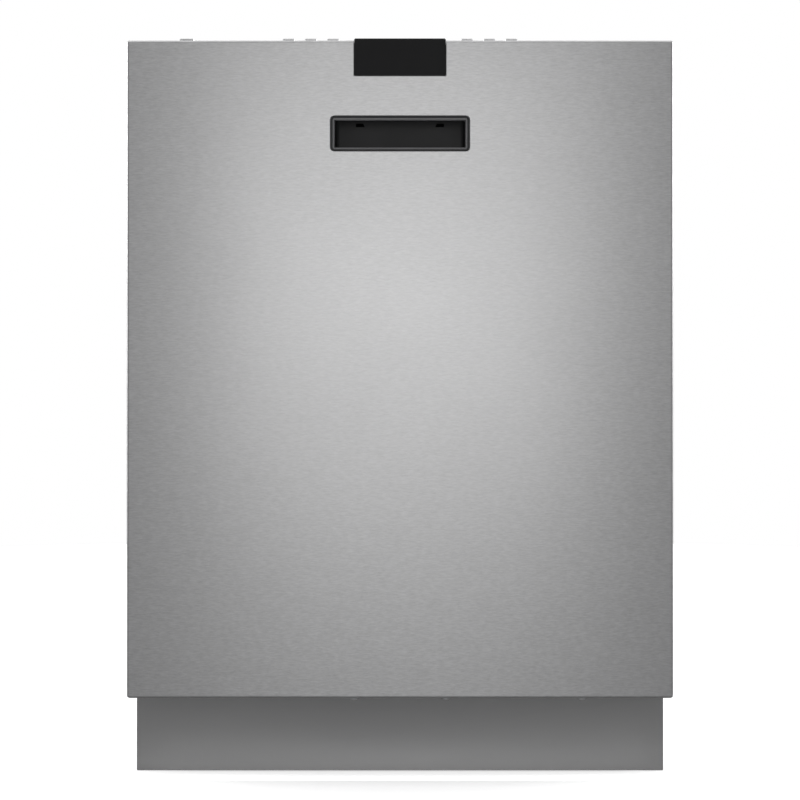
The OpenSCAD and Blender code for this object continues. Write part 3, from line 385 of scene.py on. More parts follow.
def galvanised(name, tone=0.52):
    """Zinc-coated sheet: angular spangle cells with their own tone, dulled and a little scratched."""
    finish = Finish(name, Metallic=0.9)
    spangle = finish.node("ShaderNodeTexVoronoi", {}, {"Vector": finish.position(), "Scale": 130}, 1)
    level = finish.node("ShaderNodeSeparateColor", {}, {0: spangle})
    dull = finish.noise(60, 4)
    patch = level * 0.6 + dull * 0.4
    finish.set("Base Color", finish.mix(patch, grey(tone * 0.72, 0.03), grey(tone * 1.2, 0.02)))
    finish.set("Roughness", level * 0.18 + dull * 0.15 + 0.30)
    return finish.bump(finish.noise(800, 3), 0.06, 0.0004).material


def moulded(name, colour, rough=0.45, grain=0.25, scale=1800, fade=0.12, clear=0.0, shine=0.5):
    """Moulded plastic: fine spark-eroded grain, flow clouds in the colour and a little handling gloss."""
    finish = Finish(name, Coat_Weight=clear, Coat_Roughness=0.12, Specular_IOR_Level=shine)
    flow = finish.noise(22, 3)
    pores = finish.noise(scale, 3)
    finish.set("Base Color", finish.mix(flow * 0.7 + pores * 0.3, tuple(c * (1 - fade) for c in colour),
                                        tuple(min(c * (1 + fade), 1) for c in colour)))
    finish.set("Roughness", (flow - 0.5) * 0.16 + (pores - 0.5) * 0.10 + rough)
    return finish.bump(pores, grain, 0.0003).material


def gloss_black(name):
    """Polished black window: deep colour, hard clear coat, dust and fine wipe marks in the gloss."""
    finish = Finish(name, Specular_IOR_Level=0.40)
    wipe = finish.noise(90, 4, (1, 1, 0.25))
    dust = finish.noise(2600, 2) > 0.72
    film = dust * 0.25 + wipe * 0.1
    finish.set("Base Color", finish.mix(film, (0.004, 0.004, 0.0042), (0.03, 0.03, 0.031)))
    finish.set("Roughness", wipe * 0.05 + 0.03)
    return finish.bump(wipe, 0.02, 0.0003).material


def rubber(name, level=0.02):
    """Matt rubber with fine pitting and a chalky bloom."""
    finish = Finish(name, Specular_IOR_Level=0.35)
    bloom = finish.noise(40, 4)
    pits = finish.noise(1500, 3)
    finish.set("Base Color", finish.mix(bloom, grey(level * 0.7), grey(level * 1.7, 0.02)))
    finish.set("Roughness", bloom * 0.15 + pits * 0.1 + 0.52)
    return finish.bump(pits, 0.3, 0.0004).material


def felt(name, level=0.14):
    """Pressed recycled fibre: tangled threads of mixed colour over soft tufts."""
    finish = Finish(name, Specular_IOR_Level=0.15, Sheen_Weight=0.25)
    fibre = finish.noise(900, 5, (1, 1, 1), 0.75)
    thread = finish.cells(420, (1, 0.35, 0.6), "DISTANCE_TO_EDGE")
    tuft = finish.noise(45, 4)
    speck = finish.noise(240, 2) > 0.66
    body = finish.mix(fibre * 0.6 + tuft * 0.4, grey(level * 0.55), grey(level * 1.7, 0.03))
    finish.set("Base Color", finish.mix(speck * 0.35, body, (0.34, 0.33, 0.36)))
    finish.set("Roughness", fibre * 0.1 + 0.85)
    return finish.bump(fibre * 0.5 + tuft * 0.9 + thread * 1.2, 0.8, 0.0022).material


def painted(name, level=0.30, rough=0.42):
    """Powder-coated sheet: fine orange peel, slight cloud and a few brighter specks."""
    finish = Finish(name, Coat_Weight=0.15, Coat_Roughness=0.35)
    peel = finish.noise(520, 2)
    cloud = finish.noise(9, 3)
    speck = finish.noise(2400, 2)
    finish.set("Base Color", finish.mix(cloud * 0.5 + speck * 0.5, grey(level * 0.93), grey(level * 1.07)))
    finish.set("Roughness", (peel - 0.5) * 0.12 + rough)
    return finish.bump(peel, 0.12, 0.0005).material


def perforated(name, pitch=0.0028):
    """Fine perforated steel: rows of round holes cut by alpha, with a rounded lip about each."""
    finish = Finish(name, Metallic=1.0)
    scale = 1 / pitch
    place_in = finish.position((scale, scale, scale))
    split = finish.node("ShaderNodeSeparateXYZ", {}, {0: place_in})
    y = Value(finish, split.output.node.outputs[1])
    across = split.math("FRACT") - 0.5
    along = y.math("FRACT") - 0.5
    near = (across * across + along * along) ** 0.5
    finish.set("Alpha", near > 0.27)
    dull = finish.noise(60, 3)
    finish.set("Base Color", finish.mix(dull, grey(0.40), grey(0.62)))
    finish.set("Roughness", dull * 0.15 + 0.28)
    return finish.bump(near, 0.4, 0.0006).material


def coated_wire(name, level=0.44):
    """Nylon-coated wire: smooth grey skin with soft dips, a gloss coat and faint water marks."""
    finish = Finish(name, Coat_Weight=0.35, Coat_Roughness=0.18)
    dip = finish.noise(120, 3)
    mark = finish.noise(900, 2)
    skin = dip * 0.7 + mark * 0.3
    finish.set("Base Color", finish.mix(skin, grey(level * 0.86, 0.02), grey(level * 1.12, 0.03)))
    finish.set("Roughness", dip * 0.12 + 0.30)
    return finish.bump(dip, 0.15, 0.0008).material


def solder_mask(name):
    """Printed board: green lacquer with copper tracks showing through as a lighter, raised net."""
    finish = Finish(name, Coat_Weight=0.6, Coat_Roughness=0.15)
    net = finish.cells(160, (1, 1, 0.2), "DISTANCE_TO_EDGE")
    track = net < 0.06
    finish.set("Base Color", finish.mix(track, (0.012, 0.085, 0.03), (0.05, 0.22, 0.08)))
    finish.set("Roughness", finish.noise(300, 2) * 0.15 + 0.30)
    return finish.bump(track, 0.3, 0.0002).material


def corrugated(name, level=0.30):
    """Ribbed hose rubber with dust in the valleys."""
    finish = Finish(name, Specular_IOR_Level=0.4)
    dust = finish.noise(60, 4)
    finish.set("Base Color", finish.mix(dust, grey(level * 0.7), grey(level * 1.25, 0.02)))
    finish.set("Roughness", dust * 0.2 + 0.42)
    return finish.bump(finish.noise(1400, 3), 0.2, 0.0003).material


DOOR_STEEL = brushed_steel("door_brushed_steel")
# far brighter than the door steel: painted highlight along the cut edges
EDGE_HIGHLIGHT_STEEL = bright_sheet("cut_edge_painted_highlight", 0.92, 0.20)
TUB_STEEL = bright_sheet("tub_bright_steel", 0.78, 0.34)
RAIL_STEEL = brushed_steel("rail_drawn_steel", 0.66, 0.25, 0.5, 0.3, 0.0, "y")
BUTTON_STEEL = brushed_steel("button_satin_steel", 0.72, 0.28, 0.4, 0.2, 0.0)
ZINC = galvanised("frame_galvanised")
KICK_PAINT = painted("kick_grey_paint", 0.135)
BASE_PLASTIC = moulded("base_black_plastic", (0.022, 0.022, 0.024), 0.50, 0.35, 1200)
CONSOLE_PLASTIC = moulded("console_satin_plastic", (0.030, 0.030, 0.032), 0.42, 0.3)
POCKET_BLACK = moulded("pocket_black_plastic", (0.016, 0.016, 0.017), 0.46, 0.3)
# the pocket's black plastic made a lighter grey for its rolled lip: painted highlight of light catching the bevel
POCKET_RING_HIGHLIT = moulded("pocket_ring_painted_highlight", (0.115, 0.115, 0.118), 0.34, 0.15)
WINDOW_BLACK = gloss_black("window_polished_black")
SEAL_RUBBER = rubber("seal_black_rubber")
FELT = felt("blanket_felt")
BITUMEN = rubber("bitumen_mat", 0.035)
FOIL = bright_sheet("blanket_foil_tape", 0.58, 0.44)
WHITE_PLASTIC = moulded("white_moulded", (0.58, 0.58, 0.565), 0.40, 0.15, fade=0.05)
CHAMBER = moulded("chamber_milky_plastic", (0.44, 0.45, 0.43), 0.40, 0.12, fade=0.08, clear=0.2)
GREY_PLASTIC = moulded("grey_moulded", (0.27, 0.28, 0.30), 0.40, 0.2)
LIGHT_GREY = moulded("light_grey_moulded", (0.43, 0.44, 0.46), 0.38, 0.15, fade=0.06)
ARM_PLASTIC = moulded("spray_arm_grey", (0.40, 0.41, 0.43), 0.33, 0.15, fade=0.06, clear=0.15)
BASKET_PLASTIC = moulded("basket_grey", (0.20, 0.21, 0.23), 0.40, 0.2)
BLUE_PLASTIC = moulded("rinse_cap_blue", (0.03, 0.09, 0.24), 0.28, 0.1, clear=0.4)
PUMP_PLASTIC = moulded("pump_charcoal", (0.055, 0.058, 0.065), 0.45, 0.35)
FOOT_PLASTIC = moulded("foot_black", (0.025, 0.025, 0.026), 0.5, 0.4)
WIRE = coated_wire("rack_coated_wire")
FILTER_STEEL = perforated("filter_perforated_steel")
BOARD = solder_mask("control_board_green")
HOSE = corrugated("hose_grey_rubber", 0.24)
SPRING_STEEL = brushed_steel("spring_oiled_steel", 0.34, 0.34, 0.5, 0.0, 0.0)
SCREW_STEEL = bright_sheet("screw_zinc", 0.62, 0.30)
# near-black with no shine: painted shade standing in for the dark inside of the two clip slots
SLOT_SHADE_BLACK = moulded("slot_painted_shade", (0.001, 0.001, 0.001), 0.7, 0.1, shine=0.0)


# ---------------------------------------------------------------- door front

FRONT = -285.0                                        # face of the door, in millimetres like all below
LEFT, LOW, TOP = -298.0, 95.0, 812.0                  # edges of the door; the right mirrors the left
SHEET = 1.0                                           # thickness of the door's sheet
FOLD_FLAT = 2.9                                       # how far the folded edge reaches on to the face
RIM_BEAD, RIM_DEPTH, RIM_FLAT = 0.34, 0.42, 1.2       # smooth rim bead, its steel brightened as a painted highlight: radius, depth in the sheet, flattening


def arc_points(centre, start, stop, count=6):
    """Rows of (centre x, centre z, angle) round a corner."""
    return [(centre[0], centre[1], math.radians(a)) for a in np.linspace(start, stop, count)]


def door_outline():
    """The door's edge from one side of the window round to the other: each point is centre + (r - inset) of
    its direction, so straight stretches slide the centre along. The last column is the fold's depth there."""
    r, side, short, bottom = 3.2, 42.0, 4.2, 4.8
    x0, z0, z1 = LEFT + r, LOW + r, TOP - r
    rows = [(-50.9, z1, math.pi / 2, short)]
    for centre, start, depths in (((x0, z1), 90, (short, side)), ((x0, z0), 180, (side, bottom))):
        rows += [(*p, depths[k > 2]) for k, p in enumerate(arc_points(centre, start, start + 90))]
    rows += [(-283.5, z0, 1.5 * math.pi, bottom), (-282.7, z0, 1.5 * math.pi, side)]
    half = np.array(rows)
    other = half[::-1].copy()
    other[:, 0] *= -1
    other[:, 2] = math.pi - other[:, 2]
    return np.concatenate([half, other]), r


def door_fold():
    """Folded edge: the profile runs from the face through a quarter round of radius 2.5 to the side wall and back
    along the inside of the sheet, 1 mm away."""
    path, r = door_outline()
    bend, thick, flat = 2.5, SHEET, FOLD_FLAT
    turn = np.linspace(0, math.pi / 2, 8)
    outer = [(flat, 0)] + [(bend * (1 - math.sin(a)), bend * (1 - math.cos(a))) for a in turn]
    inner = [(bend - (bend - thick) * math.sin(a), bend - (bend - thick) * math.cos(a)) for a in turn[::-1]]
    profile = np.array(outer + [(0, -1), (thick, -1)] + inner + [(flat, thick)])
    d = profile[:, 0][None, :]
    y = np.where(profile[:, 1][None, :] < 0, path[:, 3][:, None], profile[:, 1][None, :])
    reach = r - d
    x = path[:, 0][:, None] + reach * np.cos(path[:, 2])[:, None]
    z = path[:, 1][:, None] + reach * np.sin(path[:, 2])[:, None]
    return Shape().add(np.stack([x, FRONT + y, z], -1)).mesh("door_fold")


def notch(half, low, r, high):
    """Corner points of the window's cut-out, from its left rim down and round to its right rim."""
    turn = np.linspace(0, math.pi / 2, 5)
    right = np.stack([half - r + r * np.cos(turn[::-1]), low + r - r * np.sin(turn[::-1])], 1)
    left = right[::-1] * [-1, 1]
    return np.concatenate([[[-half, high]], left, right, [[half, high]]])


HOLE = (-76.6, 76.6, 690.1, 730.4, 5.4)
path, corner_r = door_outline()
edge_a = path[:, 0] + (corner_r - FOLD_FLAT) * np.cos(path[:, 2])
edge_b = path[:, 1] + (corner_r - FOLD_FLAT) * np.sin(path[:, 2])
cut = notch(50.9, 772.1, 1.6, TOP - FOLD_FLAT)[1:-1]
outline_a = np.concatenate([edge_a, cut[::-1, 0]])
outline_b = np.concatenate([edge_b, cut[::-1, 1]])
place("door_sheet", plate("door_sheet", [(outline_a, outline_b), round_rect(HOLE, 10)], FRONT, SHEET),
      "door_panel", DOOR_STEEL)
place("door_fold", door_fold(), "door_panel", DOOR_STEEL)


def cut_edges():
    """Rims of the two cut-outs: a flattened bead of radius RIM_BEAD along each rim, inside the sheet. Its steel is
    far brighter than the door's, a painted highlight line along each rim.
    """
    shape = Shape()
    a, b = round_rect((-76.3, 76.3, 690.4, 730.1, 5.1), 10)
    loop = np.stack([a, a * 0 + FRONT + RIM_DEPTH, b], 1)
    tube(shape, loop, (0, 1, 0), RIM_BEAD, 8, closed=True, flat=RIM_FLAT)
    rim_path = notch(50.6, 772.4, 1.9, TOP - 0.6)
    across, up = rim_path.T
    path_in = np.stack([across, across * 0 + FRONT + RIM_DEPTH, up], 1)
    tube(shape, path_in, (0, 1, 0), RIM_BEAD, 8, flat=RIM_FLAT)
    return shape.mesh("door_cut_edges")


place("door_cut_edges", cut_edges(), "door_panel", EDGE_HIGHLIGHT_STEEL)

BEZEL = (-75.7, 75.7, 691.0, 729.5, 4.6)


def ring(profile, rect, per_corner=10):
    """Closed ring whose section is given by (inset, depth) points, carried round a rounded rectangle."""
    grid = [on_axis(*round_rect(inset(rect, d), per_corner), FRONT + y, "y") for d, y in profile]
    return Shape().add(np.stack(grid), wrap_rows=True)


def quarter(d0, y0, d1, y1, steps=4):
    """Rounded corner from (d0, y0) to (d1, y1): the first leaves along the depth, the second along the inset."""
    t = np.linspace(0, math.pi / 2, steps)
    return [(d0 + (d1 - d0) * (1 - math.cos(a)), y0 + (y1 - y0) * math.sin(a)) for a in t]


bezel = [(0, 2.2)] + quarter(0, 0.8, 0.8, 0) + quarter(1.7, 0, 2.0, 0.35) + [(2.0, 2.2)]
place("handle_bezel", ring(bezel, BEZEL).mesh("handle_bezel"), "handle_pocket", POCKET_BLACK)
# The rolled lip takes a lighter grey than the rest of the black pocket, a painted highlight on its bevel.
roll = [(2.1, 2.0), (2.1, 0.7), (2.25, 0.42), (2.6, 0.30), (3.3, 0.34), (3.9, 0.75), (4.3, 1.5), (4.45, 2.4),
        (4.48, 4.0), (2.6, 4.0)]
place("handle_ring", ring(roll, BEZEL).mesh("handle_ring"), "handle_pocket", POCKET_RING_HIGHLIT)


def pocket_shell():
    """Recess behind the lip: an outer skin from back to front, then the inner one from front to back, with the
    grip's roof 19.5 mm above the mouth and 5 mm rounds where the walls meet the back."""
    x, low, mouth, roof, back = 71.2, 694.5, 726.0, 745.5, 33.0
    shape = Shape()
    rings = [(back + 2, (-x - 1, x + 1, low - 1, roof + 1, 7)), (back - 3, (-x - 2, x + 2, low - 2, roof + 2, 5)),
             (4.2, (-x - 2, x + 2, low - 2, roof + 2, 4)), (2.4, (-x - 2, x + 2, low - 2, mouth + 2, 4)),
             (2.2, (-x, x, low, mouth - 0.2, 3.2)), (3.6, (-x, x, low, mouth - 0.2, 3.2)),
             (4.2, (-x, x, low, mouth + 1.5, 3.2)), (4.6, (-x, x, low, roof - 3, 3.2)),
             (7.5, (-x, x, low, roof, 3.2))]
    rings += [(back - 5 + 5 * math.sin(a), inset((-x, x, low, roof, 6), 5 * (1 - math.cos(a))))
              for a in np.linspace(0, math.pi / 2, 6)]
    return stack(shape, [(FRONT + y, rect) for y, rect in rings]).mesh("handle_recess")


place("handle_recess", pocket_shell(), "handle_pocket", POCKET_BLACK)
# The two clip slots are not cut: thin near-black patches on the recess's back wall paint the shade inside them.
slot_shades = Shape()
for side in (-1, 1):
    slot = np.array([(39.0, 722.4), (48.6, 722.4), (48.6, 726.0), (41.0, 726.0)])
    slot_shades.add(np.stack([on_axis(side * slot[:, 0], slot[:, 1], FRONT + y, "y") for y in (32.7, 33.6)]))
place("handle_slot_shade", slot_shades.mesh("handle_slot_shade"), "handle_pocket", SLOT_SHADE_BLACK)

softened("display_window", 0.9, WINDOW_BLACK, 3)
BUTTONS = ["power_button"] + [f"button_{i}" for i in range(1, 7)]
for button in BUTTONS:
    softened(button, 0.7, BUTTON_STEEL, 3)
softened("toe_kick", 0.35, KICK_PAINT)
softened("console", 0.4, CONSOLE_PLASTIC)


# ---------------------------------------------------------------- tub and racks

WIRE_R = 1.6
RIM_R = 2.4
END_WIRE = 26      # from the side of a rack to its first floor wire
FLOOR_WIRES = 13
LOWER_HALF, LOWER_FLOOR = 232, 195
UPPER_HALF, UPPER_FLOOR = 244, 452
WHEEL_Z = 176.3
FRONT_WHEEL_Y, REAR_WHEEL_Y = -80.0, 183.6


def floor_wires(half_width):
    """Places of the wires that run from front to back, evenly spaced between the two end wires."""
    return np.linspace(-half_width + END_WIRE, half_width - END_WIRE, FLOOR_WIRES)


def wires(shape, bw, y0, y1, z0, h, ny, wire=WIRE_R, rim_wire=RIM_R, bend=9.0):
    """Welded basket: U-shaped wires along and across the floor, bent up at radius bend, and two closed rims."""
    w2 = 2 * wire + 0.1
    x_up, y_lo, y_hi = bw - rim_wire - wire - 0.1, y0 + rim_wire + wire + 0.1, y1 - rim_wire - wire - 0.1
    top = z0 + h - 0.4
    for x in floor_wires(bw):
        corners = [(x, y_lo, top), (x, y_lo, z0), (x, y_hi, z0), (x, y_hi, top)]
        tube(shape, bent(corners, bend), (1, 0, 0), wire)
    for y in np.linspace(y0 + 34, y1 - 34, ny):
        z = z0 - w2
        corners = [(-x_up, y, top), (-x_up, y, z), (x_up, y, z), (x_up, y, top)]
        tube(shape, bent(corners, bend), (0, 1, 0), wire)
    for z in (z0 + h - rim_wire, z0 + h * 0.45):
        a, b = round_rect((-bw, bw, y0, y1, 12), 7)
        tube(shape, np.stack([a, b, a * 0 + z], 1), (0, 0, 1), rim_wire, 10, closed=True)
    return shape


def tine_rows(shape, xs, ys, z0, h, lean, wire=WIRE_R):
    """Plate tines: each stands on a floor wire, leans back by lean and ends in a rounded tip."""
    for x in xs:
        for y in ys:
            t = np.array([0, 0.5, 0.97, 0.99, 1.0])
            path = np.stack([x + 0 * t, y + lean * t * t, z0 + wire + 0.1 + (h - wire - 0.1) * t], 1)
            tube(shape, path, (1, 0, 0), wire * np.array([1, 1, 1, 0.75, 0.3]), 7)
    return shape


lower = wires(Shape(), LOWER_HALF, -206, 228.6, LOWER_FLOOR, 125, 7)
tine_rows(lower, floor_wires(LOWER_HALF)[1:8], np.linspace(-146, 168.6, 6), LOWER_FLOOR, 85, 3.0)
place("lower_rack_wires", lower.mesh("lower_rack_wires"), "lower_rack", WIRE)
blocks = Shape()
for y in (FRONT_WHEEL_Y, REAR_WHEEL_Y):
    for side in (-1, 1):
        x = sorted((side * 234.6, side * 244.8))
        block(blocks, (x[0], y - 8.8, 167.6), (x[1], y + 8.8, 257.0), 1.2, "x", 3.0)
        shaft = [(0.2, -13.9), (3.4, -13.9), (3.9, -13.2), (3.9, 0), (6.8, 0.1), (6.9, 1.9), (0.2, 2)]
        turned(blocks, [(r, side * (244.0 - t)) for r, t in shaft], (0, y, WHEEL_Z), "x", 20)
place("lower_axle_blocks", blocks.mesh("lower_axle_blocks"), "lower_rack", LIGHT_GREY)

upper = wires(Shape(), UPPER_HALF, -210, 202, UPPER_FLOOR, 118, 6)
with_tines = floor_wires(UPPER_HALF)[[2, 3, 4, 5, 7, 8, 9, 10]]
tine_rows(upper, with_tines, np.linspace(-156, 152, 6), UPPER_FLOOR, 60, 2.0)
place("upper_rack_wires", upper.mesh("upper_rack_wires"), "upper_rack", WIRE)
hangers = Shape()
for y in (-136.0, 132.0):
    for side in (-1, 1):
        x = sorted((side * 246.6, side * 256.6))
        block(hangers, (x[0], y - 13.8, 471.2), (x[1], y + 13.8, 519.8), 1.5, "x", 4.0)
        for k in range(3):
            ledge = sorted((side * 245.6, side * 247.0))
            block(hangers, (ledge[0], y - 9, 480 + 13 * k), (ledge[1], y + 9, 484 + 13 * k), 0.5, "x")
place("upper_hangers", hangers.mesh("upper_hangers"), "upper_rack", LIGHT_GREY)
feed = Shape()
turned(feed, [(5.6, 3), (7.9, 3), (7.9, 6)] + [(8.0, 60), (8.0, 180), (9.2, 184), (9.2, 196), (8, 200),
       (8, 220.8), (5.6, 220.8)], (0, 0, 434), "y", 28, caps=False)
turned(feed, [(0.1, 441.8), (7.8, 441.8), (7.9, 424), (10.9, 423.6), (10.9, 422.5), (7.9, 422.4), (7.9, 414.5),
       (5.6, 414.4), (5.5, 430), (0.1, 430)], (0, 15, 0), "z", 28)
for y in (55.0, 162.0):
    block(feed, (-6.8, y - 4.8, 440), (6.8, y + 4.8, 446.8), 0.8)
place("upper_feed_pipe", feed.mesh("upper_feed_pipe"), "upper_rack", ARM_PLASTIC)


def wheel(shape, x0, x1, y, z):
    """Roller turned about X: a hub, a thin web and a crowned tread with rounded shoulders."""
    middle, half = (x0 + x1) / 2, (x1 - x0) / 2
    section = [(4.1, -half), (7.0, -half), (7.4, -half + 0.6), (7.5, -1.4), (14.4, -1.4), (14.8, -half + 1.0),
               (15.6, -half + 0.2), (16.9, -half), (17.7, -half + 0.8), (17.9, -1.5), (17.97, 0), (17.9, 1.5),
               (17.7, half - 0.8), (16.9, half), (15.6, half - 0.2), (14.8, half - 1.0), (14.4, 1.4), (7.5, 1.4),
               (7.4, half - 0.6), (7.0, half), (4.1, half)]
    section = section + section[:1]
    turned(shape, [(r, middle + t) for r, t in section], (0, y, z), "x", 48, caps=False)
    for k in range(6):
        a = k * TAU / 6
        direction = np.array([0, math.cos(a), math.sin(a)])
        ribs = np.array([7.2, 14.6])[:, None] * direction + [middle, y, z]
        tube(shape, ribs, (1, 0, 0), 0.9, 8, flat=2.6)


for node, y in (("lower_front_wheels", FRONT_WHEEL_Y),
                ("lower_rear_wheels", REAR_WHEEL_Y)):
    pairs = Shape()
    wheel(pairs, 246, 256, y, WHEEL_Z)
    wheel(pairs, -256, -246, y, WHEEL_Z)
    place(node + "_look", pairs.mesh(node), node, LIGHT_GREY)


def slatted_wall(shape, a0, a1, axis, level, z0, z1, t=2.0, pitch=7.2):
    """Basket wall: bands at the foot, middle and rim joined by rounded upright slats."""
    def bar(lo_a, hi_a, lo_z, hi_z, depth=t):
        lo = (lo_a, level + (t - depth) / 2, lo_z) if axis == "x" else (level + (t - depth) / 2, lo_a, lo_z)
        hi = (hi_a, level + (t + depth) / 2, hi_z) if axis == "x" else (level + (t + depth) / 2, hi_a, hi_z)
        block(shape, lo, hi, 0.45, steps=3)
    for lo_z, hi_z in ((z0, z0 + 7), (z0 + 0.5 * (z1 - z0) - 3, z0 + 0.5 * (z1 - z0) + 3), (z1 - 9, z1)):
        bar(a0, a1, lo_z, hi_z)
    count = max(int((a1 - a0) / pitch), 2)
    for a in np.linspace(a0, a1 - 2.4, count + 1):
        bar(a, a + 2.4, z0 + 1, z1 - 1, 1.7)


basket = Shape()
left, right, front, back, foot, mouth = 82.0, 217.0, -190.0, 20.0, 196.7, 314.7
for y in (front, back - 2):
    slatted_wall(basket, left, right, "x", y, foot + 2.1, mouth)
for x in (left, (left + right - 2) / 2, right - 2):
    slatted_wall(basket, front + 2.1, back - 2.1, "y", x, foot + 2.1, mouth)
for f in (1 / 3, 2 / 3):
    y = front + f * (back - front) - 1
    slatted_wall(basket, left + 2.1, (left + right) / 2 - 1.1, "x", y, foot + 2.1, mouth - 12)
    slatted_wall(basket, (left + right) / 2 + 1.1, right - 2.1, "x", y, foot + 2.1, mouth - 12)
for y in np.arange(front, back - 3, 7.0):
    block(basket, (left + 0.2, y, foot), (right - 0.2, y + 2.6, foot + 1.9), 0.4)
for x in np.arange(left, right - 3, 19.0):
    block(basket, (x, front + 0.2, foot), (x + 2.6, back - 0.2, foot + 1.7), 0.4)
place("cutlery_basket_look", basket.mesh("cutlery_basket"), "cutlery_basket", BASKET_PLASTIC)


AXIS_Y = 15   # the spray arms' axis, behind the middle of the tub


def arm_thickness(t, s):
    """Thickness of an arm at the fraction s of its reach: t (0.66 + 0.34 cos(pi s / 2)^0.7)."""
    return t * (0.66 + 0.34 * np.cos(math.pi / 2 * s) ** 0.7)


def spray_arm(name, node, r, w, t, hub_r, hub_bore, z0, turn, up, jets=5):
    """Arm about Z: at the fraction s of its reach the half width is w/2 (1 - |s|^9)^(1/2) (0.9 + 0.1 cos(pi s)),
    and the crown lies to one side. Jets are small turned nozzles; the hub is turned too."""
    shape = Shape()
    s = np.sin(np.linspace(-math.pi / 2, math.pi / 2, 61)) * 0.999
    around = np.arange(28) * TAU / 28
    half = w / 2 * np.sqrt(1 - np.abs(s) ** 9) * (0.90 + 0.10 * np.cos(math.pi * s))
    thick = arm_thickness(t, s) / 2 * (1 - np.abs(s) ** 24) ** 0.5
    square = 0.62
    ca = np.sign(np.cos(around)) * np.abs(np.cos(around)) ** square
    sa = np.sign(np.sin(around)) * np.abs(np.sin(around)) ** square
    x = r * s[:, None] + 0 * around
    y = half[:, None] * ca
    flat = -1 if up else 1
    z = z0 + t / 2 + flat * (t / 2 - thick)[:, None] + thick[:, None] * sa
    shape.add(np.stack([x, y, z], -1))
    low, high = z0, z0 + t
    hub = [(hub_bore, low + 0.2), (hub_r - 2, low), (hub_r, low + 1.5), (hub_r, high - 3),
           (hub_r - 3, high - 0.2), (hub_bore + 2, high), (hub_bore, high - 0.4), (hub_bore, low + 0.2)]
    turned(shape, hub, (0, 0, 0), "z", 40, caps=False)
    for side in (-1, 1):
        for i in range(1, jets + 1):
            at = np.array([side * r * (0.1 + 0.165 * i), (i % 2 - 0.5) * w * 0.4, 0])
            crown = arm_thickness(t, abs(at[0] / r))
            face = z0 + crown if up else z0 + t - crown
            out = 1 if up else -1
            face -= out * 0.55
            jet = [(0.1, -0.6), (1.4, -0.6), (1.8, 0.1), (2.6, 0.5), (3.6, 0.45), (4.6, -0.6), (4.6, -1.4),
                   (0.1, -1.4)]
            turned(shape, [(radius, face + out * lift) for radius, lift in jet], at, "z", 16)
    points = np.concatenate(shape.points)
    c, q = math.cos(math.radians(turn)), math.sin(math.radians(turn))
    x, y, z = points.T
    points = np.stack([x * c - y * q, x * q + y * c + AXIS_Y, z], 1)
    shape.points = [points]
    place(name, shape.mesh(name), node, ARM_PLASTIC)


spray_arm("lower_spray_arm_look", "lower_spray_arm", 222, 44, 12, 27, 10.2, 170, 22, True)
spray_arm("upper_spray_arm_look", "upper_spray_arm", 200, 36, 12, 22, 8.2, 410, 60, True)
spray_arm("top_spray_arm_look", "top_spray_arm", 140, 26, 11, 20, 8.2, 762, -35, False)


TUB_MOUTH = -230   # front rim of the tub


def bulb_seal():
    """Door seal: a solid bulb on a notched foot, its section swept round the mouth."""
    section = [(0.4, 7.2), (0.2, 5.6), (0.5, 3.4), (1.6, 1.4), (3.0, 0.6), (4.4, 1.2), (5.4, 2.8), (5.9, 4.4),
               (5.6, 6.0), (4.6, 7.2), (3.4, 7.4), (3.2, 6.2), (2.2, 6.2), (2.0, 7.4)]
    rect = (-276.8, 276.8, 145.2, 802.8, 13.0)
    grid = [on_axis(*round_rect(inset(rect, d), 9), TUB_MOUTH + y, "y") for d, y in section]
    return Shape().add(np.stack(grid), wrap_rows=True).mesh("bulb_seal")


place("tub_seal_look", bulb_seal(), "tub_seal", SEAL_RUBBER)


def cove(shape, corner, along, start, stop, r):
    """Rounded inside corner: a prism whose section is the square corner less a quarter circle of radius r."""
    a, b, sa, sb = corner
    t = np.linspace(0, math.pi / 2, 8)
    pa = np.concatenate([[a], a + sa * (r - r * np.sin(t))])
    pb = np.concatenate([[b], b + sb * (r - r * np.cos(t))])
    shape.add(np.stack([on_axis(pa, pb, level, along) for level in (start, stop)]))


coves = Shape()
for side in (-1, 1):
    cove(coves, (side * 270, 800, -side, -1), "y", -220, 252, 16)
    cove(coves, (side * 240, 150, side, 1), "y", -220, 250.9, 5)
    cove(coves, (side * 270, 158, -side, 1), "y", -220, 250.9, 8)
    cove(coves, (side * 270, 252, -side, -1), "z", 158, 800, 16)
cove(coves, (252, 800, -1, -1), "x", -270, 270, 16)
cove(coves, (252, 150, -1, 1), "x", -240, 240, 10)
place("tub_coves", coves.mesh("tub_coves"), "tub", TUB_STEEL, hides=False)

for side in (-1, 1):
    beads = Shape()
    for z in (300.0, 335.0, 640.0, 675.0):
        path = np.array([(side * 269.9, y, z) for y in (-196.0, -190.0, 225.0, 231.0)])
        tube(beads, path, (1, 0, 0), np.array([0.3, 3.4, 3.4, 0.3]), 12, flat=0.42)
    name = "tub_beads_left" if side < 0 else "tub_beads_right"
    place(name, beads.mesh("tub_beads"), "tub", TUB_STEEL, hides=False)
beads = Shape()
for a, b, r in ((90.0, 215.0, 14.0), (-215.0, -90.0, 14.0)):
    rim_a, rim_b = round_rect((a, b, 240.0, 720.0, r), 8)
    tube(beads, np.stack([rim_a, rim_a * 0 + 251.9, rim_b], 1), (0, 1, 0), 3.2, 10, closed=True, flat=0.42)
place("tub_back_beads", beads.mesh("tub_back_beads"), "tub", TUB_STEEL, hides=False)

# ---------------------------------------------------------------- cabinet


def even_path(points, bend, step):
    """The bent polyline resampled at equal arc lengths."""
    fine = bent(points, bend, 16)
    length = np.concatenate([[0], np.cumsum(np.linalg.norm(np.diff(fine, axis=0), axis=1))])
    at = np.linspace(0, length[-1], max(int(length[-1] / step), 4))
    return np.stack([np.interp(at, length, fine[:, k]) for k in range(3)], 1), at


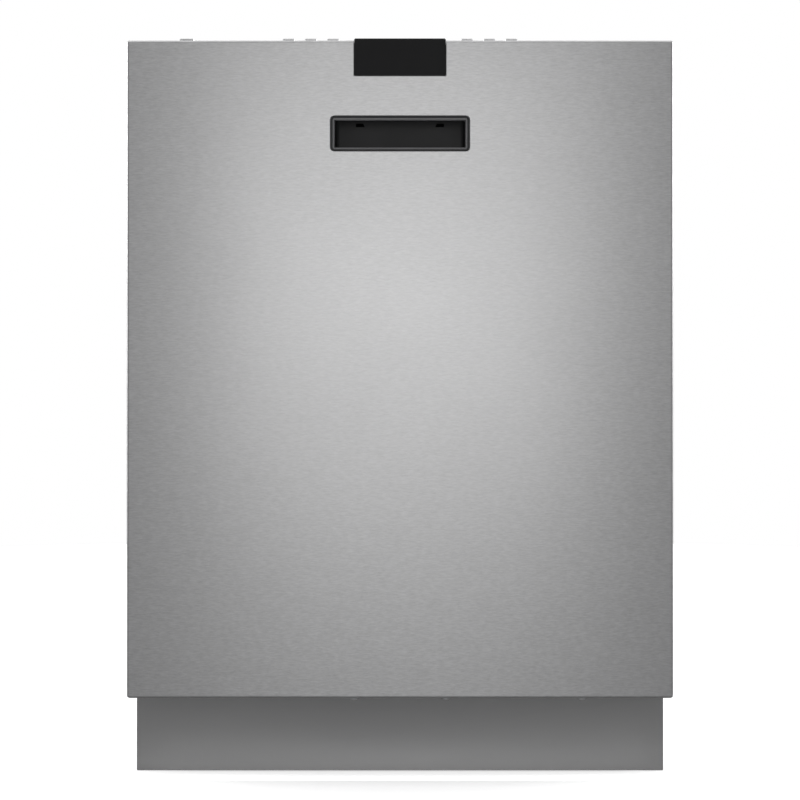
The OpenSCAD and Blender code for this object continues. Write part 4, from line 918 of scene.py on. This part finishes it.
def hose(shape, points, bend, r, ripple, pitch, normal):
    """Corrugated hose: its radius is r + ripple cos(2 pi s / pitch) along the arc length s, plain at both ends."""
    path, at = even_path(points, bend, pitch / 5)
    plain = np.clip(np.minimum(at - 8, at[-1] - 8 - at) / 2, 0, 1)
    return tube(shape, path, normal, r - ripple + ripple * plain * np.cos(TAU * at / pitch), 14)


def coil(shape, centre, y0, y1, r, wire, turns, sides=7):
    """Helix about Y: each ring of the wire stands square to the direction the helix runs in."""
    count = int(turns * 14)
    a = np.linspace(0, turns * TAU, count)
    y = np.linspace(y0, y1, count)
    out = np.stack([np.cos(a), 0 * a, np.sin(a)], 1)
    path = out * r + np.stack([0 * a + centre[0], y, 0 * a + centre[1]], 1)
    rise = (y1 - y0) / (turns * TAU)
    ahead = np.stack([-np.sin(a) * r, 0 * a + rise, np.cos(a) * r], 1)
    ahead /= np.linalg.norm(ahead, axis=1)[:, None]
    side = np.cross(ahead, out)
    around = np.arange(sides) * TAU / sides
    section = out[:, None] * np.cos(around)[None, :, None] + side[:, None] * np.sin(around)[None, :, None]
    return shape.add(path[:, None] + wire * section)


springs = Shape()
for side in (-1, 1):
    x = side * 285.5
    coil(springs, (x, 78.0), -86.0, 37.0, 7.5, 1.25, 44)
    link = bent([(x, -234.6, 97.3), (x, -100.0, 79.4), (x, -88.0, 78.0), (x, -86.5, 71.0)], 4.0)
    tube(springs, link, (1, 0, 0), 1.35)
    tube(springs, bent([(x, 36.5, 71.0), (x, 38.5, 78.0), (x, 40.2, 78.0)], 1.0), (1, 0, 0), 1.3)
place("door_spring_coils", springs.mesh("door_spring_coils"), "door_springs", SPRING_STEEL)

pipes = Shape()
hose(pipes, [(-245.3, 240, 60), (-290, 240, 60), (-290, 240, 199.7)], 10, 6.0, 0.45, 3.4, (0, 1, 0))
hose(pipes, [(-60.2, -40, 125), (-290, -40, 125), (-290, -40, 199.7)], 10, 6.0, 0.45, 3.4, (0, 1, 0))
place("fill_hoses_look", pipes.mesh("fill_hoses"), "fill_hoses", HOSE)

DRAIN_AXIS = (-83.3, 0, 104)
drain = Shape()
y = np.arange(-19.6, 244.0, 0.8)
plain = np.clip(np.minimum(y + 8, 232 - y) / 3, 0, 1)
ripples = [(9.0 + 0.48 * p * math.cos(TAU * v / 4.0), v) for v, p in zip(y, plain)]
turned(drain, [(7.2, -19.6)] + ripples + [(7.2, 244.0)], DRAIN_AXIS, "y", 20)
spigot = [(7.0, 236.0), (9.2, 236.2), (9.3, 244.1), (13.6, 244.3), (13.9, 245.5), (13.9, 260.5), (13.5, 261.8),
          (9.0, 261.9), (9.0, 263), (8.5, 267), (8.9, 268), (8.9, 269), (8.5, 273), (8.9, 274), (8.9, 275),
          (8.5, 280), (8.9, 281), (8.6, 284.2), (8.0, 285), (7.0, 285), (7.0, 236.0)]
turned(drain, spigot, DRAIN_AXIS, "y", 36, caps=False)
place("drain_hose_look", drain.mesh("drain_hose"), "drain_hose", HOSE)


def thread(shape, centre, axis, lo, hi, r, depth, pitch, sides=28, steps=6):
    """Screw thread: radius r - depth |2 f - 1| where f is the fraction of (level / pitch - angle / 2 pi)."""
    level = np.linspace(lo, hi, int((hi - lo) / pitch * steps))
    angle = np.arange(sides) * TAU / sides
    f = (level[:, None] / pitch - angle[None, :] / TAU) % 1
    end = np.clip(np.minimum(level - lo, hi - level) / (pitch * 0.7), 0, 1)[:, None]
    radius = r - depth * (1 - end * (1 - np.abs(2 * f - 1)))
    grid = on_axis(radius * np.cos(angle), radius * np.sin(angle), level[:, None] + 0 * radius, axis)
    return shape.add(grid + np.asarray(centre, float))


for name, x, y in (("front_left_foot", -250, -175), ("front_right_foot", 250, -175),
                   ("rear_left_foot", -250, 190), ("rear_right_foot", 250, 190)):
    foot = Shape()
    turned(foot, [(0.1, 0), (19.6, 0), (20.6, 0.5), (20.95, 1.6), (20.9, 3.2), (19.6, 4.6), (11.5, 6.2), (8.6, 7.2),
                  (8.2, 8.0), (0.1, 8.0)], (x, y, 0), "z", 48)
    for k in range(12):
        a = k * TAU / 12
        rib = np.array([(x + r * math.cos(a), y + r * math.sin(a), z) for r, z in ((8.0, 6.7), (19.0, 4.2))])
        tube(foot, rib, (0, 0, 1), 0.8, 6)
    thread(foot, (x, y, 0), "z", 7.4, 95, 4.98, 0.6, 2.0, 20)
    place(name + "_look", foot.mesh(name), name, FOOT_PLASTIC)

softened("insulation_blanket", 4.0, FELT, 3)
tapes = Shape()
for side in (-1, 1):
    block(tapes, (side * 262 - 18, 265.3, 175), (side * 262 + 18, 265.8, 805), 0.15, "y", 1.0)
    x = sorted((side * 283.2, side * 283.8))
    block(tapes, (x[0], 215, 175), (x[1], 250 if side > 0 else 235, 790), 0.15, "x", 1.0)
block(tapes, (-235, 265.3, 772), (235, 265.8, 800), 0.15, "y", 1.0)
block(tapes, (-235, 265.3, 440), (235, 265.8, 475), 0.15, "y", 1.0)
block(tapes, (-262, 180, 811.2), (262, 215, 811.7), 0.15, "z", 1.0)
place("blanket_tapes", tapes.mesh("blanket_tapes"), "insulation_blanket", FOIL, hides=False)

chamber = Shape()
block(chamber, (-295.8, -55, 200), (-284.2, 250, 520), 2.0, "x", 9.0, 4)
for route in ([(-45, 210), (-45, 505), (238, 505), (238, 210), (-45, 210)],
              [(-30, 210), (-30, 420), (60, 420), (60, 240)], [(0, 240), (0, 390), (30, 390), (30, 215)],
              [(90, 500), (90, 300), (150, 300)], [(120, 340), (120, 470), (200, 470), (200, 250)],
              [(90, 260), (170, 260), (170, 430)], [(-30, 450), (60, 450), (60, 490)],
              [(222, 230), (222, 480)]):
    line = np.array([(-295.9, a, b) for a, b in route], float)
    tube(chamber, bent(line, 9.0, 6) if len(line) > 2 else line, (1, 0, 0), 1.7, 8, flat=0.8)
for a, b in ((-20, 480), (215, 495), (215, 222), (-20, 222), (75, 230)):
    turned(chamber, [(0.1, -295.0), (5.5, -295.0), (5.5, -297.0), (4.8, -297.4), (2.6, -297.4), (2.4, -296.4),
                     (0.1, -296.4)], (0, a, b), "x", 20)
place("air_break_look", chamber.mesh("air_break_chamber"), "air_break_chamber", CHAMBER)

softened("base_pan", 1.0, BASE_PLASTIC)
ribs = Shape()
for x in np.arange(-250.0, 251.0, 25.0):
    if min(abs(x + 220), abs(x + 83.3)) > 20:
        block(ribs, (x - 1.2, 264.5, 26), (x + 1.2, 267.4, 142), 0.5, "y")
for z in (40.0, 128.0):
    for a0, a1 in ((-200.0, -104.0), (-62.0, 262.0)):
        block(ribs, (a0, 264.5, z - 1.2), (a1, 266.8, z + 1.2), 0.5, "y")
for side in (-1, 1):
    for y in np.arange(-135.0, 256.0, 25.0):
        by_hose = side < 0 and min(abs(y - 240), abs(y + 40)) < 12
        if abs(y - 43) > 14 and not by_hose:
            x = sorted((side * 270.6, side * 273.4))
            block(ribs, (x[0], y - 1.2, 92 if y < 50 else 28), (x[1], y + 1.2, 144), 0.5, "x")
place("base_pan_ribs", ribs.mesh("base_pan_ribs"), "base_pan", BASE_PLASTIC, hides=False)


# ---------------------------------------------------------------- inside of the door


def liner_sheet():
    """Pressed inner sheet: the face steps back by 1.8 mm inside a rounded frame, depth = 1.8 (3 u^2 - 2 u^3)
    with u the distance inside that frame over 9 mm, and three shallow beads cross the field below the dispenser."""
    hole = (-60.5, 120.5, 384.5, 550.5)
    xs = np.unique(np.round(np.concatenate([np.linspace(-294, 294, 148), hole[:2], [-68.5, 128.5]]), 3))
    zs = np.unique(np.round(np.concatenate([np.linspace(162, 751, 150), hole[2:], [376.5, 558.5]]), 3))
    x, z = np.meshgrid(xs, zs, indexing="ij")
    qx, qz = np.abs(x) - (262 - 30), np.abs(z - 456.5) - (262 - 30)
    inside = 30 - (np.hypot(np.maximum(qx, 0), np.maximum(qz, 0)) + np.minimum(np.maximum(qx, qz), 0))
    u = np.clip(inside / 9, 0, 1)
    near = np.maximum(np.abs(x - 30) - 98.5, np.abs(z - 467.5) - 91)
    flat = np.clip(near / 14, 0, 1)
    v = np.minimum(u, flat)
    depth = 1.8 * (3 * v ** 2 - 2 * v ** 3)
    for level in (230.0, 275.0, 320.0):
        bead = np.clip(1 - (np.hypot(np.maximum(np.abs(x) - 190, 0), z - level) / 9) ** 2, 0, 1)
        depth -= 1.4 * bead ** 2
    points = np.stack([x, -230.0 - depth, z], -1).reshape(-1, 3)
    faces = grid_faces(len(xs), len(zs), wrap_cols=False)
    keep_i, keep_j = np.meshgrid(np.arange(len(xs) - 1), np.arange(len(zs) - 1), indexing="ij")
    cx = (xs[keep_i.ravel()] + xs[keep_i.ravel() + 1]) / 2
    cz = (zs[keep_j.ravel()] + zs[keep_j.ravel() + 1]) / 2
    out = ~((cx > hole[0]) & (cx < hole[1]) & (cz > hole[2]) & (cz < hole[3]))
    mesh = mesh_of("liner_sheet", points, faces[out])
    edit = bmesh.new()
    edit.from_mesh(mesh)
    bmesh.ops.recalc_face_normals(edit, faces=edit.faces)
    edit.faces.ensure_lookup_table()
    if edit.faces[0].normal.y < 0:
        bmesh.ops.reverse_faces(edit, faces=edit.faces)
    bmesh.ops.solidify(edit, geom=edit.faces[:], thickness=0.001)
    edit.to_mesh(mesh)
    edit.free()
    return mesh


place("liner_sheet", liner_sheet(), "door_liner", TUB_STEEL)
turns = Shape()
block(turns, (-281.7, -231, 108), (281.7, -230, 162.2), 0.3, "y", 2.0)
block(turns, (-281.7, -246, 108), (281.7, -230.6, 109), 0.3, "z", 1.0)
for side in (-1, 1):
    for x, z0, z1 in ((294.0, 162.2, 751.0), (281.7, 108.2, 163.0)):
        a = sorted((side * x, side * (x - 1)))
        block(turns, (a[0], -246, z0), (a[1], -230.5, z1), 0.3, "x", 1.0)
place("liner_flanges", turns.mesh("liner_flanges"), "door_liner", TUB_STEEL)

softened("dispenser", 0.9, GREY_PLASTIC, 3)
softened("detergent_lid", 0.8, LIGHT_GREY, 3)
cap = Shape()
turned(cap, [(0.1, -242), (7.6, -242), (7.9, -241), (7.9, -228), (15.2, -227.9), (15.9, -227.2), (15.9, -225.9),
             (15.0, -225.1), (9.5, -225.3), (9.0, -225.6), (0.1, -225.6)], (75, 0, 433), "y", 48)
for k in range(24):
    a = k * TAU / 24
    at = (75 + 15.4 * math.cos(a), 433 + 15.4 * math.sin(a))
    tube(cap, [(at[0], -227.6, at[1]), (at[0], -225.6, at[1])], (0, 0, 1), 0.55, 6)
block(cap, (73, -226, 421), (77, -222.6, 445), 1.2, "y", 1.9, 4)
place("rinse_cap_look", cap.mesh("rinse_aid_cap"), "rinse_aid_cap", BLUE_PLASTIC)

dome = Shape()
bell = [(0.1, 120), (3.4, 120), (3.9, 120.6), (3.9, 150.4), (17.2, 150.4), (17.9, 151.2), (17.9, 155.5),
        (16.6, 158.6), (13.0, 160.4), (7.0, 160.95), (0.1, 161)]
turned(dome, bell, (-175, -150, 0), "z", 48)
place("float_look", dome.mesh("float"), "float", WHITE_PLASTIC)

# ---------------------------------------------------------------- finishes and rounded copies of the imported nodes

FINISHES = {node: finish for finish, nodes in (
    (BASE_PLASTIC, "base_pan"), (SEAL_RUBBER, "tub_seal"), (FELT, "insulation_blanket"),
    (BITUMEN, "door_insulation"),
    (TUB_STEEL, "tub door_strike water_heater door_liner latch_catch"),
    (ZINC, "side_frames top_brackets junction_box hinge_arms"), (SPRING_STEEL, "door_springs"),
    (PUMP_PLASTIC, "sump circulation_pump drain_pump"), (FILTER_STEEL, "filter_plate"),
    (WHITE_PLASTIC, "micro_filter pump_impeller drain_impeller inlet_valve float"),
    (HOSE, "drain_hose fill_hoses"), (CHAMBER, "air_break_chamber"),
    (ARM_PLASTIC, "supply_pipe lower_spray_arm top_spray_arm upper_spray_arm"),
    (RAIL_STEEL, "rack_rails rail_slides"), (WIRE, "upper_rack lower_rack"),
    (LIGHT_GREY, "lower_front_wheels lower_rear_wheels detergent_lid"), (BASKET_PLASTIC, "cutlery_basket"),
    (SCREW_STEEL, "cabinet_screws door_screws"), (GREY_PLASTIC, "latch_housing dispenser"),
    (BOARD, "control_board"), (BLUE_PLASTIC, "rinse_aid_cap"), (DOOR_STEEL, "door_panel"),
    (FOOT_PLASTIC, "front_left_foot front_right_foot rear_left_foot rear_right_foot"),
    (POCKET_BLACK, "handle_pocket"), (WINDOW_BLACK, "display_window"), (CONSOLE_PLASTIC, "console"),
    (KICK_PAINT, "toe_kick"), (BUTTON_STEEL, " ".join(BUTTONS)),
) for node in nodes.split()}
EDGES = {
    "side_frames": 0.35, "top_brackets": 0.35, "door_strike": 0.5, "sump": 0.8, "micro_filter": 0.7,
    "circulation_pump": 1.2, "pump_impeller": 0.4, "water_heater": 1.0, "drain_pump": 1.0, "drain_impeller": 0.4,
    "inlet_valve": 0.9, "junction_box": 0.3, "supply_pipe": 0.6, "rack_rails": 0.3, "rail_slides": 0.8,
    "hinge_arms": 0.4, "latch_housing": 0.8, "latch_catch": 0.4, "control_board": 0.25, "cabinet_screws": 0.4,
    "door_screws": 0.6, "door_insulation": 2.0,
}
for name, finish in FINISHES.items():
    NODES[name].data.materials.clear()
    NODES[name].data.materials.append(finish)
for name, width in EDGES.items():
    softened(name, width, FINISHES[name])

# ---------------------------------------------------------------- light and camera


def light(name, place_at, aim, size, watts):
    """Flat lamp at place_at that faces aim; size is its width and height in metres."""
    lamp = bpy.data.lights.new(name, "AREA")
    lamp.shape = "RECTANGLE"
    lamp.size, lamp.size_y = size
    lamp.energy = watts
    holder = bpy.data.objects.new(name, lamp)
    holder.location = place_at
    holder.rotation_euler = (Vector(aim) - Vector(place_at)).to_track_quat("-Z", "Y").to_euler()
    bpy.context.scene.collection.objects.link(holder)
    return holder


world = bpy.data.worlds.new("studio")
bpy.context.scene.world = world
world.use_nodes = True
tree = world.node_tree
tree.nodes.clear()
rays = tree.nodes.new("ShaderNodeLightPath")
direction = tree.nodes.new("ShaderNodeTexCoord")
split = tree.nodes.new("ShaderNodeSeparateXYZ")
height = tree.nodes.new("ShaderNodeMapRange")
height.inputs["From Min"].default_value = -0.6
height.inputs["From Max"].default_value = 0.9
ramp = tree.nodes.new("ShaderNodeValToRGB")
ramp.color_ramp.elements[0].color = (0.27, 0.27, 0.275, 1)
ramp.color_ramp.elements[1].color = (0.70, 0.70, 0.71, 1)
around = tree.nodes.new("ShaderNodeBackground")
around.inputs["Strength"].default_value = 0.62
white = tree.nodes.new("ShaderNodeBackground")
white.inputs["Color"].default_value = (1, 1, 1, 1)
white.inputs["Strength"].default_value = 1.0
mix = tree.nodes.new("ShaderNodeMixShader")
out = tree.nodes.new("ShaderNodeOutputWorld")
for a, b in ((direction.outputs["Generated"], split.inputs[0]), (split.outputs["Z"], height.inputs["Value"]),
             (height.outputs[0], ramp.inputs[0]), (ramp.outputs[0], around.inputs["Color"]),
             (rays.outputs["Is Camera Ray"], mix.inputs[0]), (around.outputs[0], mix.inputs[1]),
             (white.outputs[0], mix.inputs[2]), (mix.outputs[0], out.inputs[0])):
    tree.links.new(a, b)

light("key", (0, -2.7, 0.70), (0, 0, 0.42), (0.95, 0.88), 4.5)
light("left_fill", (-2.6, 0.4, 1.4), (0, 0, 0.4), (1.6, 1.6), 45)
light("right_fill", (2.6, 0.4, 1.4), (0, 0, 0.4), (1.6, 1.6), 45)
light("back_fill", (0, 2.8, 1.5), (0, 0, 0.4), (2.0, 1.6), 60)
glow = light("kick_glow", (0, -0.257, 0.006), (0, -0.20, 0.008), (0.60, 0.008), 0.12)
glow.visible_camera = glow.visible_glossy = False
light("top_fill", (0, -0.2, 3.0), (0, 0, 0.4), (3.2, 3.2), 26)


FLOOR_LEVEL = -0.6   # just under the feet at rest


def studio_floor():
    """Round pale floor, 6 m across: rings of points at equal angles about the object's feet."""
    shape = Shape()
    turned(shape, [(radius, FLOOR_LEVEL) for radius in (1.0, 700.0, 1500.0, 3000.0)], (0, 0, 0), "z", 64,
           caps=False)
    mesh = shape.mesh("studio_floor")
    paper = Finish("studio_paper", Emission_Strength=0.62, Specular_IOR_Level=0.1)
    paper.shader.inputs["Emission Color"].default_value = (1, 1, 1, 1)
    mottle = paper.noise(30, 3)
    paper.set("Base Color", paper.mix(mottle, grey(0.70), grey(0.74)))
    paper.set("Roughness", mottle * 0.1 + 0.8)
    mesh.materials.append(paper.material)
    floor = bpy.data.objects.new("studio_floor", mesh)
    bpy.context.scene.collection.objects.link(floor)
    floor.visible_glossy = False


studio_floor()

camera = bpy.data.cameras.new("front")
camera.sensor_width = 36
camera.lens = 78.5
viewer = bpy.data.objects.new("front", camera)
viewer.location = (0, -2.185, 0.420)
viewer.rotation_euler = (math.pi / 2, 0, 0)
bpy.context.scene.view_settings.view_transform = "Standard"
bpy.context.scene.collection.objects.link(viewer)
bpy.context.scene.camera = viewer
